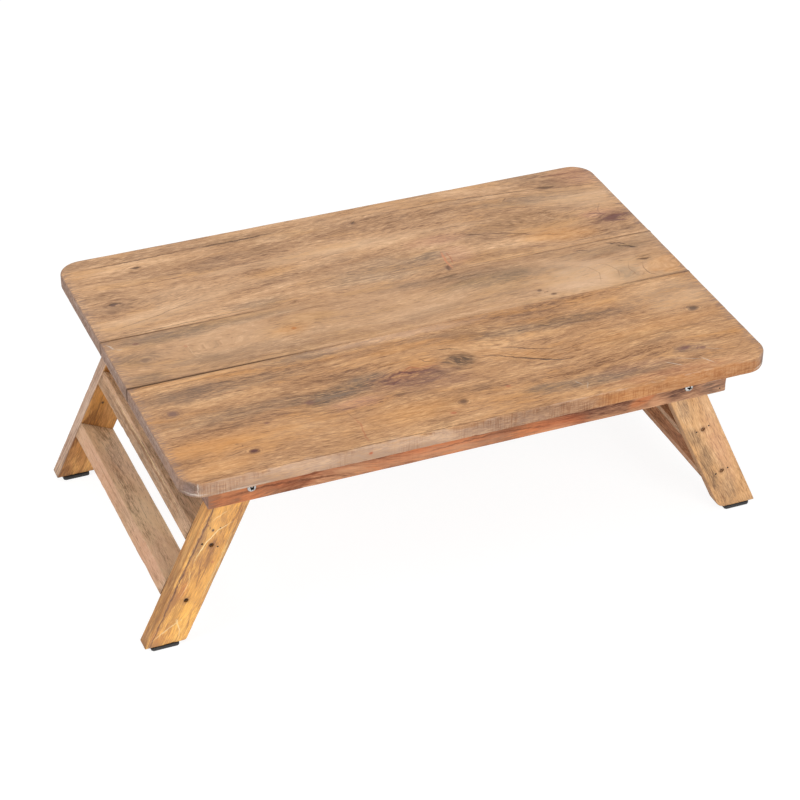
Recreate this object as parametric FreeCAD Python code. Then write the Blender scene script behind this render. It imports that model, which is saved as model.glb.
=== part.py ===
import FreeCAD, Part
import math
import os

from FreeCAD import Placement, Rotation, Vector

# Low tray table: a three-plank top on two side rails and two end rails, and a folding frame of
# two splayed legs and two rungs at each end. Millimetres, +Z up, +X along the top, front at -Y.
# The origin is on the floor below the middle of the top.

# Top
table_height = 220.0
top_length = 600.0
top_width = 416.0
top_thickness = 16.0
top_corner_radius = 24.0
top_upper_edge_round = 2.0
top_lower_edge_bevel = 1.2
front_plank_width = 171.0
middle_plank_width = 87.0
seam_bevel = 0.7

# Side rails and end rails under the top
side_rail_inset = 29.0
side_rail_end_inset = 31.0
side_rail_thickness = 20.0
rail_height = 37.0
rail_edge_round = 1.5
end_rail_thickness = 14.0

# Folding leg frames
leg_width = 38.0
leg_thickness = 16.5
leg_edge_bevel = 1.0
leg_splay_degrees = 25.0
leg_crown_clearance = 2.5
leg_stop_gap = 0.3
left_foot_round = 4.0
right_foot_round = 12.0
rung_thickness = 17.0
rung_edge_round = 1.0
upper_rung_drop = 80.0
lower_rung_drop = 144.0

# Rubber foot pads
pad_length = 28.0
pad_inner_lip = 1.5
pad_fold_clearance = 0.3
pad_thickness = 4.0
pad_chamfer = 1.5

# Pivot screws and their washers
pivot_screw_radius = 2.5
pivot_head_radius = 4.3
pivot_head_height = 2.8
pivot_head_bevel = 1.3
pivot_tip_cover = 2.5
drive_slot_length = 4.8
drive_slot_width = 0.9
drive_slot_depth = 1.4
pivot_radial_clearance = 0.05
pivot_end_clearance = 0.1
washer_radius = 6.5
washer_thickness = 0.9

# Screws up through the rails into the top
top_screw_radius = 2.0
top_screw_head_radius = 3.8
top_screw_head_height = 2.4
top_screw_sink = 10.0
top_screw_tip_cover = 4.0
top_screw_end_distance = 24.0
side_rail_screw_shares = (-0.25, 0.25)

# Screws through the legs into the rungs
rung_screw_radius = 1.5
rung_screw_head_radius = 2.4
rung_screw_head_height = 1.5
rung_screw_sink = 1.2
rung_screw_bite = 22.0

# Working values
overrun = 5.0
same_place = 0.001
parallel_tolerance = 1e-6

# Levels and faces that the pieces share
underside = table_height - top_thickness
rail_bottom = underside - rail_height
rail_outer_face = top_width / 2 - side_rail_inset
rail_inner_face = rail_outer_face - side_rail_thickness
rail_half_length = top_length / 2 - side_rail_end_inset
end_rail_inner_face = rail_half_length - end_rail_thickness
end_rail_centre = rail_half_length - end_rail_thickness / 2
leg_outer_face = rail_inner_face - washer_thickness - pivot_end_clearance
leg_inner_face = leg_outer_face - leg_thickness
leg_half_width = leg_width / 2
rung_half = rung_thickness / 2

# The open leg rests on the inner bottom edge of the end rail, which places the pivot
splay = math.radians(leg_splay_degrees)
pivot_drop = leg_half_width + leg_crown_clearance
pivot_z = underside - pivot_drop
leg_reach_at_rail = leg_half_width / math.cos(splay) + (pivot_z - rail_bottom) * math.tan(splay)
pivot_x = end_rail_inner_face - leg_stop_gap - leg_reach_at_rail

front = -1
back = 1
left = -1
right = 1
faces = {"front": front, "back": back}
sides = {"left": left, "right": right}
foot_rounds = {left: left_foot_round, right: right_foot_round}
rung_drops = {"upper": upper_rung_drop, "lower": lower_rung_drop}
up = Vector(0, 0, 1)
down = Vector(0, 0, -1)
lengthwise = Vector(1, 0, 0)
crosswise = Vector(0, 1, 0)


def box(x_range, y_range, z_range):
    """A block between two limits on each axis."""
    corner = Vector(x_range[0], y_range[0], z_range[0])
    return Part.makeBox(x_range[1] - x_range[0], y_range[1] - y_range[0], z_range[1] - z_range[0], corner)


def edges_along(shape, direction):
    """The straight edges of a shape that run along a direction."""
    found = []
    for edge in shape.Edges:
        tangent = edge.tangentAt(edge.FirstParameter)
        if edge.Curve.TypeId == "Part::GeomLine" and abs(tangent.dot(direction)) > 1 - parallel_tolerance:
            found.append(edge)
    return found


def edges_at(shape, direction, level):
    """The edges of a shape that lie wholly in the plane square to a direction at a level."""
    found = []
    for edge in shape.Edges:
        points = edge.discretize(3)
        if all(abs(point.dot(direction) - level) < same_place for point in points):
            found.append(edge)
    return found


def placed(shape, point, direction):
    """A shape made along +Z, moved so that its origin is at a point and its +Z along a direction."""
    moved = shape.copy()
    moved.Placement = Placement(point, Rotation(up, direction))
    return moved


def cut_all(shape, tools):
    """A shape with every tool cut out of it."""
    return shape.cut(Part.makeCompound(tools)) if tools else shape


def screw(head_radius, head_height, shank_radius, length, access=0.0):
    """A screw, head at the origin and shank down, or the hole for it with an access bore above the head."""
    head = Part.makeCylinder(head_radius, head_height + access, Vector(0, 0, -head_height))
    shank = Part.makeCylinder(shank_radius, length, Vector(0, 0, -length))
    return head.fuse(shank).removeSplitter()


def on_frame(side, along_leg, across_leg, y=0.0):
    """A point of an open leg frame, measured from its pivot down the leg and outwards across it."""
    x = pivot_x + along_leg * math.sin(splay) + across_leg * math.cos(splay)
    z = pivot_z - along_leg * math.cos(splay) + across_leg * math.sin(splay)
    return Vector(side * x, y, z)


def foot_reach(across_leg):
    """The distance down the leg from its pivot to the level foot cut."""
    return (pivot_z - pad_thickness + across_leg * math.sin(splay)) / math.cos(splay)


# Where the screws sit: each place is a point and the direction that the head faces
def side_rail_screw_places(face):
    y = face * (rail_outer_face + rail_inner_face) / 2
    level = rail_bottom + top_screw_sink
    return [(Vector(share * 2 * rail_half_length, y, level), down) for share in side_rail_screw_shares]


def plank_limits():
    """The front and back limits of the planks, from the front."""
    first_seam = front_plank_width - top_width / 2
    second_seam = first_seam + middle_plank_width
    return [(-top_width / 2, first_seam), (first_seam, second_seam), (second_seam, top_width / 2)]


def end_rail_screw_places(side):
    """One screw into each plank, in the middle of what lies over the rail away from the rail's ends."""
    level = rail_bottom + top_screw_sink
    reach = rail_inner_face - top_screw_end_distance
    places = []
    for low, high in plank_limits():
        middle = (max(low, -reach) + min(high, reach)) / 2
        places.append((Vector(side * end_rail_centre, middle, level), down))
    return places


def rung_screw_places(side, face):
    """One screw through the leg into the middle of each rung's end."""
    y = face * (leg_outer_face - rung_screw_sink)
    return [(on_frame(side, drop, 0, y), crosswise * face) for drop in rung_drops.values()]


# Screws and the holes that they need
def top_screw(access=0.0):
    length = rail_height - top_screw_sink + top_thickness - top_screw_tip_cover
    return screw(top_screw_head_radius, top_screw_head_height, top_screw_radius, length, access)


def rung_screw(access=0.0):
    length = leg_thickness - rung_screw_sink + rung_screw_bite
    return screw(rung_screw_head_radius, rung_screw_head_height, rung_screw_radius, length, access)


def pivot_point(side, face, y):
    return Vector(side * pivot_x, face * y, pivot_z)


def pivot_screw(side, face):
    """A pan-head screw that turns in the side rail and is fast in the leg."""
    head = Part.makeCylinder(pivot_head_radius, pivot_head_height)
    head = head.makeChamfer(pivot_head_bevel, edges_at(head, up, pivot_head_height))
    half_slot = drive_slot_length / 2
    half_width = drive_slot_width / 2
    slot_range = (pivot_head_height - drive_slot_depth, pivot_head_height + overrun)
    slots = [
        box((-half_slot, half_slot), (-half_width, half_width), slot_range),
        box((-half_width, half_width), (-half_slot, half_slot), slot_range),
    ]
    head_underside = rail_outer_face + pivot_end_clearance
    length = head_underside - leg_inner_face - pivot_tip_cover
    shank = Part.makeCylinder(pivot_screw_radius, length, Vector(0, 0, -length))
    whole = cut_all(head, slots).fuse(shank).removeSplitter()
    return placed(whole, pivot_point(side, face, head_underside), crosswise * face)


def pivot_bore(side, face, radius):
    """A bore on the pivot axis, through the side rail and the leg and past both."""
    length = rail_outer_face + overrun - leg_inner_face + overrun
    bore = Part.makeCylinder(radius, length, Vector(0, 0, -length))
    return placed(bore, pivot_point(side, face, rail_outer_face + overrun), crosswise * face)


def pivot_washer(side, face):
    """A flat washer that keeps the leg off the side rail."""
    ring = Part.makeCylinder(washer_radius, washer_thickness)
    hole = Part.makeCylinder(pivot_screw_radius, washer_thickness + 2 * overrun, Vector(0, 0, -overrun))
    return placed(ring.cut(hole), pivot_point(side, face, leg_outer_face), crosswise * face)


def holes(tool, places):
    return [placed(tool, point, direction) for point, direction in places]


# Top
def whole_top():
    """The tabletop's outline with round corners and eased edges, before it is parted into planks."""
    half_length = top_length / 2
    half_width = top_width / 2
    slab = box((-half_length, half_length), (-half_width, half_width), (underside, table_height))
    slab = slab.makeFillet(top_corner_radius, edges_along(slab, up))
    slab = slab.makeFillet(top_upper_edge_round, edges_at(slab, up, table_height))
    return slab.makeChamfer(top_lower_edge_bevel, edges_at(slab, up, underside))


def seam_groove(y):
    """The shallow V that the bevelled edges of two planks leave along their seam."""
    points = [
        Vector(-top_length, y, table_height - seam_bevel),
        Vector(-top_length, y - seam_bevel - overrun, table_height + overrun),
        Vector(-top_length, y + seam_bevel + overrun, table_height + overrun),
    ]
    face = Part.Face(Part.makePolygon(points + [points[0]]))
    return face.extrude(lengthwise * 2 * top_length)


def top_planks():
    """The planks, parted at the seams and drilled from below for the screws."""
    slab = whole_top()
    seams = [limits[1] for limits in plank_limits()[:-1]]
    tools = [seam_groove(y) for y in seams]
    for face in faces.values():
        tools += holes(top_screw(overrun), side_rail_screw_places(face))
    for side in sides.values():
        tools += holes(top_screw(overrun), end_rail_screw_places(side))
    slab = cut_all(slab, tools)
    planks = []
    for low, high in plank_limits():
        strip = box((-top_length, top_length), (low, high), (underside - overrun, table_height + overrun))
        planks.append(slab.common(strip))
    return planks


# Rails
def side_rail(face):
    """A rail along the top's long edge, with the pivot bores near its ends."""
    y_limits = sorted((face * rail_outer_face, face * rail_inner_face))
    rail = box((-rail_half_length, rail_half_length), y_limits, (rail_bottom, underside))
    long_edges = edges_along(rail, lengthwise)
    lower_edges = [edge for edge in long_edges if edge.CenterOfMass.z < underside - same_place]
    rail = rail.makeFillet(rail_edge_round, lower_edges)
    tools = holes(top_screw(top_screw_sink + overrun), side_rail_screw_places(face))
    for side in sides.values():
        tools.append(pivot_bore(side, face, pivot_screw_radius + pivot_radial_clearance))
    return cut_all(rail, tools)


def end_rail(side):
    """A rail between the side rails, whose inner bottom edge stops the open leg frame."""
    x_limits = sorted((side * rail_half_length, side * end_rail_inner_face))
    rail = box(x_limits, (-rail_inner_face, rail_inner_face), (rail_bottom, underside))
    return cut_all(rail, holes(top_screw(top_screw_sink + overrun), end_rail_screw_places(side)))


# Leg frames
def leg(side, face):
    """A leg round at its pivot, straight down its edges and cut level at the foot."""
    outer_pivot = on_frame(side, 0, leg_half_width)
    outer_foot = on_frame(side, foot_reach(leg_half_width), leg_half_width)
    inner_foot = on_frame(side, foot_reach(-leg_half_width), -leg_half_width)
    inner_pivot = on_frame(side, 0, -leg_half_width)
    crown = on_frame(side, -leg_half_width, 0)
    outline = Part.Wire([
        Part.makeLine(outer_pivot, outer_foot),
        Part.makeLine(outer_foot, inner_foot),
        Part.makeLine(inner_foot, inner_pivot),
        Part.Arc(inner_pivot, crown, outer_pivot).toShape(),
    ])
    board = Part.Face(outline).extrude(crosswise * leg_thickness)
    corner = [edge for edge in edges_along(board, crosswise)
              if edge.CenterOfMass.distanceToPoint(inner_foot + crosswise * leg_thickness / 2) < same_place]
    board = board.makeFillet(foot_rounds[side], corner)
    wide_face_outlines = edges_at(board, crosswise, 0) + edges_at(board, crosswise, leg_thickness)
    board = board.makeChamfer(leg_edge_bevel, wide_face_outlines)
    board.translate(crosswise * min(face * leg_outer_face, face * leg_inner_face))
    tools = holes(rung_screw(rung_screw_sink + overrun), rung_screw_places(side, face))
    tools.append(pivot_bore(side, face, pivot_screw_radius))
    return cut_all(board, tools)


def rung(side, drop):
    """A board between the legs, as wide as a leg and flush with both its edges."""
    corners = [
        on_frame(side, drop - rung_half, -leg_half_width, -leg_inner_face),
        on_frame(side, drop - rung_half, leg_half_width, -leg_inner_face),
        on_frame(side, drop + rung_half, leg_half_width, -leg_inner_face),
        on_frame(side, drop + rung_half, -leg_half_width, -leg_inner_face),
    ]
    board = Part.Face(Part.makePolygon(corners + [corners[0]])).extrude(crosswise * 2 * leg_inner_face)
    board = board.makeFillet(rung_edge_round, edges_along(board, crosswise))
    tools = []
    for face in faces.values():
        tools += holes(rung_screw(), rung_screw_places(side, face))
    return cut_all(board, tools)


def foot_pad(side, face):
    """A rubber block under the foot cut, chamfered at its bottom, that still folds in beside the rail."""
    middle_x = on_frame(side, foot_reach(0), 0).x
    x_limits = (middle_x - pad_length / 2, middle_x + pad_length / 2)
    inner_side = face * (leg_inner_face - pad_inner_lip)
    outer_side = face * (rail_inner_face - pad_fold_clearance)
    pad = box(x_limits, sorted((inner_side, outer_side)), (0, pad_thickness))
    return pad.makeChamfer(pad_chamfer, edges_at(pad, up, 0))


def leg_frame_pieces(side_name, side):
    """Every piece that swings with one leg frame, by node name."""
    pieces = {f"{side_name}_{name}_rung": rung(side, drop) for name, drop in rung_drops.items()}
    rung_screws = []
    pivot_screws = []
    pivot_washers = []
    for face_name, face in faces.items():
        pieces[f"{side_name}_{face_name}_leg"] = leg(side, face)
        pieces[f"{side_name}_{face_name}_foot_pad"] = foot_pad(side, face)
        rung_screws += holes(rung_screw(), rung_screw_places(side, face))
        pivot_screws.append(pivot_screw(side, face))
        pivot_washers.append(pivot_washer(side, face))
    pieces[f"{side_name}_rung_screws"] = Part.makeCompound(rung_screws)
    pieces[f"{side_name}_pivot_screws"] = Part.makeCompound(pivot_screws)
    pieces[f"{side_name}_pivot_washers"] = Part.makeCompound(pivot_washers)
    return pieces


def top_pieces():
    """Every piece of the top and its rails, by node name."""
    pieces = dict(zip(("front_top_plank", "middle_top_plank", "back_top_plank"), top_planks()))
    screws = []
    for face_name, face in faces.items():
        pieces[f"{face_name}_side_rail"] = side_rail(face)
        screws += holes(top_screw(), side_rail_screw_places(face))
    for side_name, side in sides.items():
        pieces[f"{side_name}_end_rail"] = end_rail(side)
        screws += holes(top_screw(), end_rail_screw_places(side))
    pieces["top_screws"] = Part.makeCompound(screws)
    return pieces


def main():
    pieces = top_pieces()
    for side_name, side in sides.items():
        pieces.update(leg_frame_pieces(side_name, side))
    os.makedirs("parts", exist_ok=True)
    for node, shape in pieces.items():
        shape.exportStep(f"parts/{node}.step")
        print(f"{node}: {len(shape.Solids)} solid(s), valid {shape.isValid()}, {shape.Volume:.0f} mm3")
    print(f"pivot at x {pivot_x:.2f}, z {pivot_z:.2f}")


main()
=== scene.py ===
"""A low folding tray table of reclaimed wood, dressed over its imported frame.

Lengths are in millimetres until a mesh is placed. Each board is made lying flat, with its own X along the grain.
"""

import itertools
import math
from types import SimpleNamespace

import bpy
import numpy as np
from mathutils import Matrix, Vector
from mathutils.geometry import delaunay_2d_cdt


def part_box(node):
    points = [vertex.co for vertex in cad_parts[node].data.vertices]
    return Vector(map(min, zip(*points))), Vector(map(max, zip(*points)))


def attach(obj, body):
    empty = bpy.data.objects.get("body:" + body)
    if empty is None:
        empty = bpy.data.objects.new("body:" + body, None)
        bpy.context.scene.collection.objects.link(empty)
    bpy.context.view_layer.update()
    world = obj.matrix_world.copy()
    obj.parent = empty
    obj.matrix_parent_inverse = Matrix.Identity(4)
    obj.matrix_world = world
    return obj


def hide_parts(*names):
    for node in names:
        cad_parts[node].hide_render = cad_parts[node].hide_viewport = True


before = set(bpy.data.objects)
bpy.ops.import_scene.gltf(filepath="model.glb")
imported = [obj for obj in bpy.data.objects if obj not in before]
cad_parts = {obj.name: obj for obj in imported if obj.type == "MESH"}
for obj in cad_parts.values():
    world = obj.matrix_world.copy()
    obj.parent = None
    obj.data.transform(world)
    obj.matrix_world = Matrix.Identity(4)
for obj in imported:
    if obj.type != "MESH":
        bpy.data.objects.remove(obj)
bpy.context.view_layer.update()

METRES = 0.001

# Leg frames
SPLAY = math.radians(25)
PIVOT_X, PIVOT_Z = 226.51, 182.5
HALF_LEG = 19.0
LEG_OUTER, LEG_INNER = 158.0, 141.5
RUNG_DROPS = {"upper": 80.0, "lower": 144.0}
HALF_RUNG = 8.5
# How far in from a rung's ends its painted shade reaches, where it meets the legs
RUNG_END_SHADE = 9.0
PAD_HEIGHT = 4.0
FOOT_ROUNDS = {"left": 4.0, "right": 12.0}
SIDES = {"left": -1, "right": 1}
FACES = {"front": -1, "back": 1}

# Top
TOP_CORNER, SEAM_CORNER = 24.0, 0.6
UPPER_ROUND, LOWER_ROUND, SEAM_ROUND = 2.0, 1.2, 0.45
FRONT_SEAM, BACK_SEAM = -37.0, 50.0
RAIL_FACE, RAIL_MIDDLE = 179.0, 169.0
END_RAIL_MIDDLE = 262.0
# How far down from the planks their painted shade reaches on the rails
SHADE_DEPTH = 6.0

# Fasteners: heads are radius and height, shanks radius and length, and recesses length, width and depth
PIVOT_HEAD, PIVOT_SHANK, PIVOT_RECESS = (4.3, 2.8), (2.4, 33.0), (5.6, 1.7, 1.7)
TOP_SCREW_HEAD, TOP_SCREW_SHANK, TOP_SCREW_RECESS = (3.7, 2.3), (1.9, 12.0), (4.4, 1.0, 1.5)
RUNG_SCREW_HEAD, RUNG_SCREW_SHANK, RUNG_SCREW_RECESS = (2.35, 1.4), (1.4, 6.0), (2.8, 0.7, 1.0)
WASHER, WASHER_HOLE, WASHER_EDGE = (6.5, 0.9), 2.6, 0.2
NAIL_HEAD, NAIL_DEPTH = (1.3, 0.25), 0.6
RUNG_SCREW_SINK = 1.2
RUNG_SCREW_PLAY = 0.05
BORE, PIVOT_BORE = 3.8, 2.5
SIDE_RAIL_SCREWS_X = (-134.5, 134.5)
END_RAIL_SCREWS_Y = (-86.0, 6.5, 92.5)
TOP_SCREW_LEVEL = 177.0
RAIL_NAIL_LEVELS = (172.2, 184.0)
RUNG_NAILS_ACROSS = {"left": (-7, 9.5), "right": (-7, 7)}
LONE_NAIL = (60.0, -1.0)

# Mesh spacing, in millimetres and in points round a hole
PLANK_STEP, BOARD_STEP, PAD_STEP = 2.0, 1.6, 1.2
HOLE_TURNS = 24

# Noise that wears each plank's surface, the same for all three, so that they meet at the seams
PLANK_WEAR = 30


def box_mm(node):
    """A node's lowest and highest corners in millimetres."""
    low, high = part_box(node)
    return np.round(np.array(low) / METRES, 3), np.round(np.array(high) / METRES, 3)


# Shaping in numpy
def smooth_noise(points, spacing, seed):
    """Even noise from -1 to 1 that changes over about one spacing, a length or one for each axis."""
    place = np.asarray(points, float) / spacing
    cell = np.floor(place).astype(np.int64)
    share = place - cell
    share = share * share * (3 - 2 * share)
    total = np.zeros(len(place))
    for corner in itertools.product((0, 1), repeat=3):
        key = ((cell + corner) @ np.array([73856093, 19349663, 83492791]) + seed * 2654435761).astype(np.uint32)
        key ^= key >> np.uint32(15)
        key *= np.uint32(2246822519)
        key ^= key >> np.uint32(13)
        key *= np.uint32(3266489917)
        key ^= key >> np.uint32(16)
        weight = np.prod(np.where(corner, share, 1 - share), axis=1)
        total += weight * (key / 2.0**31 - 1)
    return total


def noise_share(points, spacing, seed):
    """The same noise from 0 to 1."""
    return 0.5 + 0.5 * smooth_noise(points, spacing, seed)


def soften(corners, step):
    """An outline through (x, y, radius) corners, counterclockwise, with its corners rounded and points a step apart."""
    arcs = []
    for before, corner, after in zip(corners[-1:] + corners[:-1], corners, corners[1:] + corners[:1]):
        point = np.array(corner[:2], float)
        back = np.array(before[:2], float) - point
        ahead = np.array(after[:2], float) - point
        back /= np.linalg.norm(back)
        ahead /= np.linalg.norm(ahead)
        radius = corner[2]
        half = math.acos(np.clip(back @ ahead, -1, 1)) / 2
        start = point + back * radius / math.tan(half)
        middle = point + (back + ahead) / np.linalg.norm(back + ahead) * radius / math.sin(half)
        turn = math.pi - 2 * half
        parts = max(3, math.ceil(radius * turn / step))
        first = math.atan2(*(start - middle)[::-1])
        angles = first + np.linspace(0, turn, parts + 1)
        arcs.append(middle + radius * np.column_stack([np.cos(angles), np.sin(angles)]))
    outline = []
    for arc, following in zip(arcs, arcs[1:] + arcs[:1]):
        gap = following[0] - arc[-1]
        parts = max(1, round(np.linalg.norm(gap) / step))
        outline += list(arc[:-1]) + [arc[-1] + gap * k / parts for k in range(parts)]
    return np.array([p for k, p in enumerate(outline) if np.linalg.norm(p - outline[k - 1]) > 1e-4])


def rounded_off(depth, radius):
    """How far a face drops at a depth in from an edge of that radius."""
    inner = np.clip(radius - depth, 0, radius)
    return radius - np.sqrt(np.maximum(radius * radius - inner * inner, 0))


def slab(corners, thickness, step, upper_round, lower_round, holes=(), shift=None):
    """A board from its outline. It keeps, for each point, the depth in from the outline, the way out of it,
    the share of the surface that faces up, and the distance to the nearest arris."""
    outline = soften(corners, step)
    ahead = np.roll(outline, -1, 0) - outline
    inward = np.column_stack([-ahead[:, 1], ahead[:, 0]]) / np.linalg.norm(ahead, axis=1)[:, None]
    planes = np.unique(np.round(np.column_stack([inward, (outline * inward).sum(1)]), 5), axis=0)
    at_corner = inward + np.roll(inward, 1, 0)
    at_corner /= np.linalg.norm(at_corner, axis=1)[:, None]

    def reach(points):
        far = points @ planes[:, :2].T - planes[:, 2]
        return far.min(1), -planes[far.argmin(1), :2]

    ring = max(upper_round, lower_round, step / 2)
    flat = [outline]
    for turn in (0.25, 0.5, 0.75, 1.0):
        depth = ring * (1 - math.cos(turn * math.pi / 2))
        points = outline + at_corner * depth
        flat.append(points[reach(points)[0] > depth * 0.97])
    low, high = outline.min(0), outline.max(0)
    axes = [np.linspace(a, b, round((b - a) / step) + 1) for a, b in zip(low, high)]
    grid = np.stack(np.meshgrid(*axes), -1).reshape(-1, 2)
    grid = grid[reach(grid)[0] > ring + step * 0.55]
    loops = [np.arange(len(outline))]
    angles = np.arange(HOLE_TURNS) * math.tau / HOLE_TURNS
    circle = np.column_stack([np.cos(angles), np.sin(angles)])
    for x, y, radius in holes:
        grid = grid[np.linalg.norm(grid - (x, y), axis=1) > radius + step * 0.8]
        loops.append(sum(len(f) for f in flat) + np.arange(HOLE_TURNS))
        flat.append(circle * radius + (x, y))
        flat.append(circle * (radius + step * 0.4) + (x, y))
    plan = np.concatenate([*flat, grid])
    edges = [(int(a), int(b)) for loop in loops for a, b in zip(loop, np.roll(loop, -1))]
    made = delaunay_2d_cdt([Vector(p) for p in plan], edges, [], 1, 1e-5)
    plan = np.array([tuple(p) for p in made[0]])
    triangles = np.array(made[2])
    middles = plan[triangles].mean(1)
    for x, y, radius in holes:
        keep = np.linalg.norm(middles - (x, y), axis=1) > radius * 0.99
        triangles, middles = triangles[keep], middles[keep]

    count = len(plan)
    depth, out = reach(plan)
    depth = np.maximum(depth, 0)
    upper = thickness - rounded_off(depth, upper_round)
    lower = rounded_off(depth, lower_round)
    points = [np.column_stack([plan, upper]), np.column_stack([plan, lower])]
    depths, outs = [depth, depth], [out, out]
    lifts = [np.clip(depth / ring, 0.01, 1), -np.clip(depth / ring, 0, 1)]
    faces = [tuple(t) for t in triangles] + [tuple(t[::-1] + count) for t in triangles]
    start = 2 * count
    for number, loop in enumerate(loops):
        rows = max(1, round(thickness / step)) if number == 0 else 1
        columns = [loop + count]
        for row in range(1, rows):
            share = row / rows
            level = lower[loop] * (1 - share) + upper[loop] * share
            points.append(np.column_stack([plan[loop], level]))
            depths.append(np.zeros(len(loop)))
            outs.append(-at_corner if number == 0 else out[loop])
            lifts.append(np.zeros(len(loop)))
            columns.append(start + np.arange(len(loop)))
            start += len(loop)
        columns.append(loop)
        for below, above in zip(columns, columns[1:]):
            quads = np.column_stack([below, np.roll(below, -1), np.roll(above, -1), above])
            faces += [tuple(q) for q in (quads if number == 0 else quads[:, ::-1])]
    points = np.concatenate(points)
    depth, out = np.concatenate(depths), np.concatenate(outs)
    arris = np.minimum(np.hypot(depth, thickness - points[:, 2]), np.hypot(depth, points[:, 2]))
    for x, y, radius in corners:
        if radius < 3:
            arris = np.minimum(arris, np.hypot(points[:, 0] - x, points[:, 1] - y))
    if shift is not None:
        points = points + shift
    return SimpleNamespace(points=points, faces=faces, depth=depth, out=out, lift=np.concatenate(lifts),
                           arris=arris, middle=points[:, 2].mean(), flat_x=points[:, 0].copy(), spot=points.copy())


def wear_down(board, seed, rub, chips, relief, reach=4.0):
    """Takes wood off a board, most along its arrises and a little everywhere. It never adds any."""
    points = board.points
    near = np.clip(1 - board.arris / reach, 0, 1) ** 2
    worn = rub * noise_share(points, 24.0, seed)
    broken = chips * np.clip(smooth_noise(points, 7.0, seed + 1) - 0.3, 0, 1)
    broken *= np.clip(0.4 + smooth_noise(points, 45.0, seed + 2), 0, 1)
    hollow = relief * noise_share(points, (60.0, 11.0, 11.0), seed + 3)
    hollow += relief * 0.25 * noise_share(points, (14.0, 3.5, 3.5), seed + 4)
    level = np.sign(points[:, 2] - board.middle)
    diagonal = np.column_stack([board.out, level]) / math.sqrt(2)
    flat = np.sqrt(1 - board.lift**2)
    facing = np.column_stack([board.out * flat[:, None], board.lift])
    board.points = points - (near * (worn + broken))[:, None] * diagonal - hollow[:, None] * facing
    return board


# The wood's figure: where a point lies in the tree that the board was sawn from
def figure(points, seed, pith, gap, lean=(0.0, 0.0), swells=(), eyes=(), coarse=1.0):
    """Places along and across the grain, and the count of growth rings from the pith.

    pith is how far off the tree's middle lies, across and below, and lean how far it runs off along the board.
    A swell is (x, y, half length, half width, height) and lifts the grain. An eye is (x, y, size, stretch, rings):
    the grain runs round it and rings close about it. coarse makes the whole figure larger."""
    x, y, z = points.T
    sway = 1.0 + 0.0 * x
    across = y + 3.0 * smooth_noise(np.column_stack([x, sway, sway]), (110.0, 1.0, 1.0), seed)
    across = across + 1.2 * smooth_noise(points, (45.0, 30.0, 30.0), seed + 1)
    for cx, cy, half_x, half_y, height in swells:
        across = across - height * np.exp(-(((x - cx) / half_x) ** 2) - ((y - cy) / half_y) ** 2)
    closed = np.zeros(len(points))
    for cx, cy, size, stretch, rings in eyes:
        near = (((x - cx) / stretch) ** 2 + (y - cy) ** 2) / size**2
        across = across - (y - cy) / (1 + near)
        closed += rings * np.exp(-near)
    below = z + 2.0 * smooth_noise(points, (90.0, 60.0, 60.0), seed + 2)
    radius = np.hypot(across - pith[0] - lean[0] * x, below - pith[1] - lean[1] * x)
    grain = np.column_stack([x + seed * 613.0, across + seed * 271.0, below + seed * 97.0]) / coarse
    return grain, radius / gap + closed


def shares(board):
    """End-grain, sawn-side and underside shares of each point of a board."""
    side = np.clip(1 - np.abs(board.lift) * 1.5, 0, 1)
    end = side * np.clip((np.abs(board.out[:, 0]) - 0.25) * 2.5, 0, 1)
    return np.column_stack([end, side - end, np.clip(-board.lift, 0, 1)])


def dress(node, points, faces, matrix, material, body, vectors, values=None, colours=None, sharp=50.0,
          replaced=True):
    """Makes one piece from points in its own millimetres, places it, and names what it rides on. It replaces the
    node that it is named for, unless it is a fastener that only shows here."""
    name = f"{node}_dressed" if replaced else node
    mesh = bpy.data.meshes.new(name)
    turn, place = np.array(matrix.to_3x3()), np.array(matrix.translation)
    placed = np.asarray(points) * METRES @ turn.T + place
    mesh.from_pydata(placed.tolist(), [], [tuple(map(int, f)) for f in faces])
    for kind, width, table in (("FLOAT_VECTOR", "vector", vectors), ("FLOAT", "value", values),
                               ("FLOAT_COLOR", "color", colours)):
        for label, numbers in (table or {}).items():
            made = mesh.attributes.new(label, kind, "POINT")
            made.data.foreach_set(width, np.asarray(numbers, np.float32).ravel())
    mesh.shade_smooth()
    mesh.set_sharp_from_angle(angle=math.radians(sharp))
    mesh.materials.append(material)
    piece = bpy.data.objects.new(name, mesh)
    bpy.context.scene.collection.objects.link(piece)
    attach(piece, body)
    if replaced:
        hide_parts(node)


def stand(origin, along, across):
    """The matrix that puts a board's own origin, X and Y at a point and two directions in the frame."""
    x, y = Vector(along), Vector(across)
    matrix = Matrix.Identity(4)
    for column, axis in enumerate((x, y, x.cross(y))):
        for row in range(3):
            matrix[row][column] = axis[row]
    matrix.translation = Vector(origin) * METRES
    return matrix


def board_piece(node, board, matrix, material, body, wood_of, marks=((), (), ()), painted_shade=0.0):
    """A board with what its wood material reads. marks are its lines, stains and knots, and the last argument is
    painted shade where parts meet or overhang.
    """
    grain, rings = wood_of
    lines, patches, knots = marks
    from_end = np.minimum(board.flat_x - board.flat_x.min(), board.flat_x.max() - board.flat_x)
    # The state's columns: distance to the nearest arris, painted shade where parts meet or overhang, and nearness to
    # the board's ends.
    state = np.column_stack([board.arris, board.arris * 0 + painted_shade, np.clip(1.4 - from_end / 8, 0, 1)])
    line_places, line_tints = line_marks(board.spot, lines)
    knot_place, knot_tint = knot_marks(board.spot, knots)
    tints = dict(zip(LINE_LAYERS, line_tints))
    tints["knot tint"] = knot_tint
    tints["stain"] = stains(board.spot, patches, len(node))
    dress(node, board.points, board.faces, matrix, material, body,
          {"grain": grain, "spot": board.spot, "state": state, "cuts": shares(board), "line places": line_places,
           "knot": knot_place}, {"rings": rings}, tints)


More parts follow.
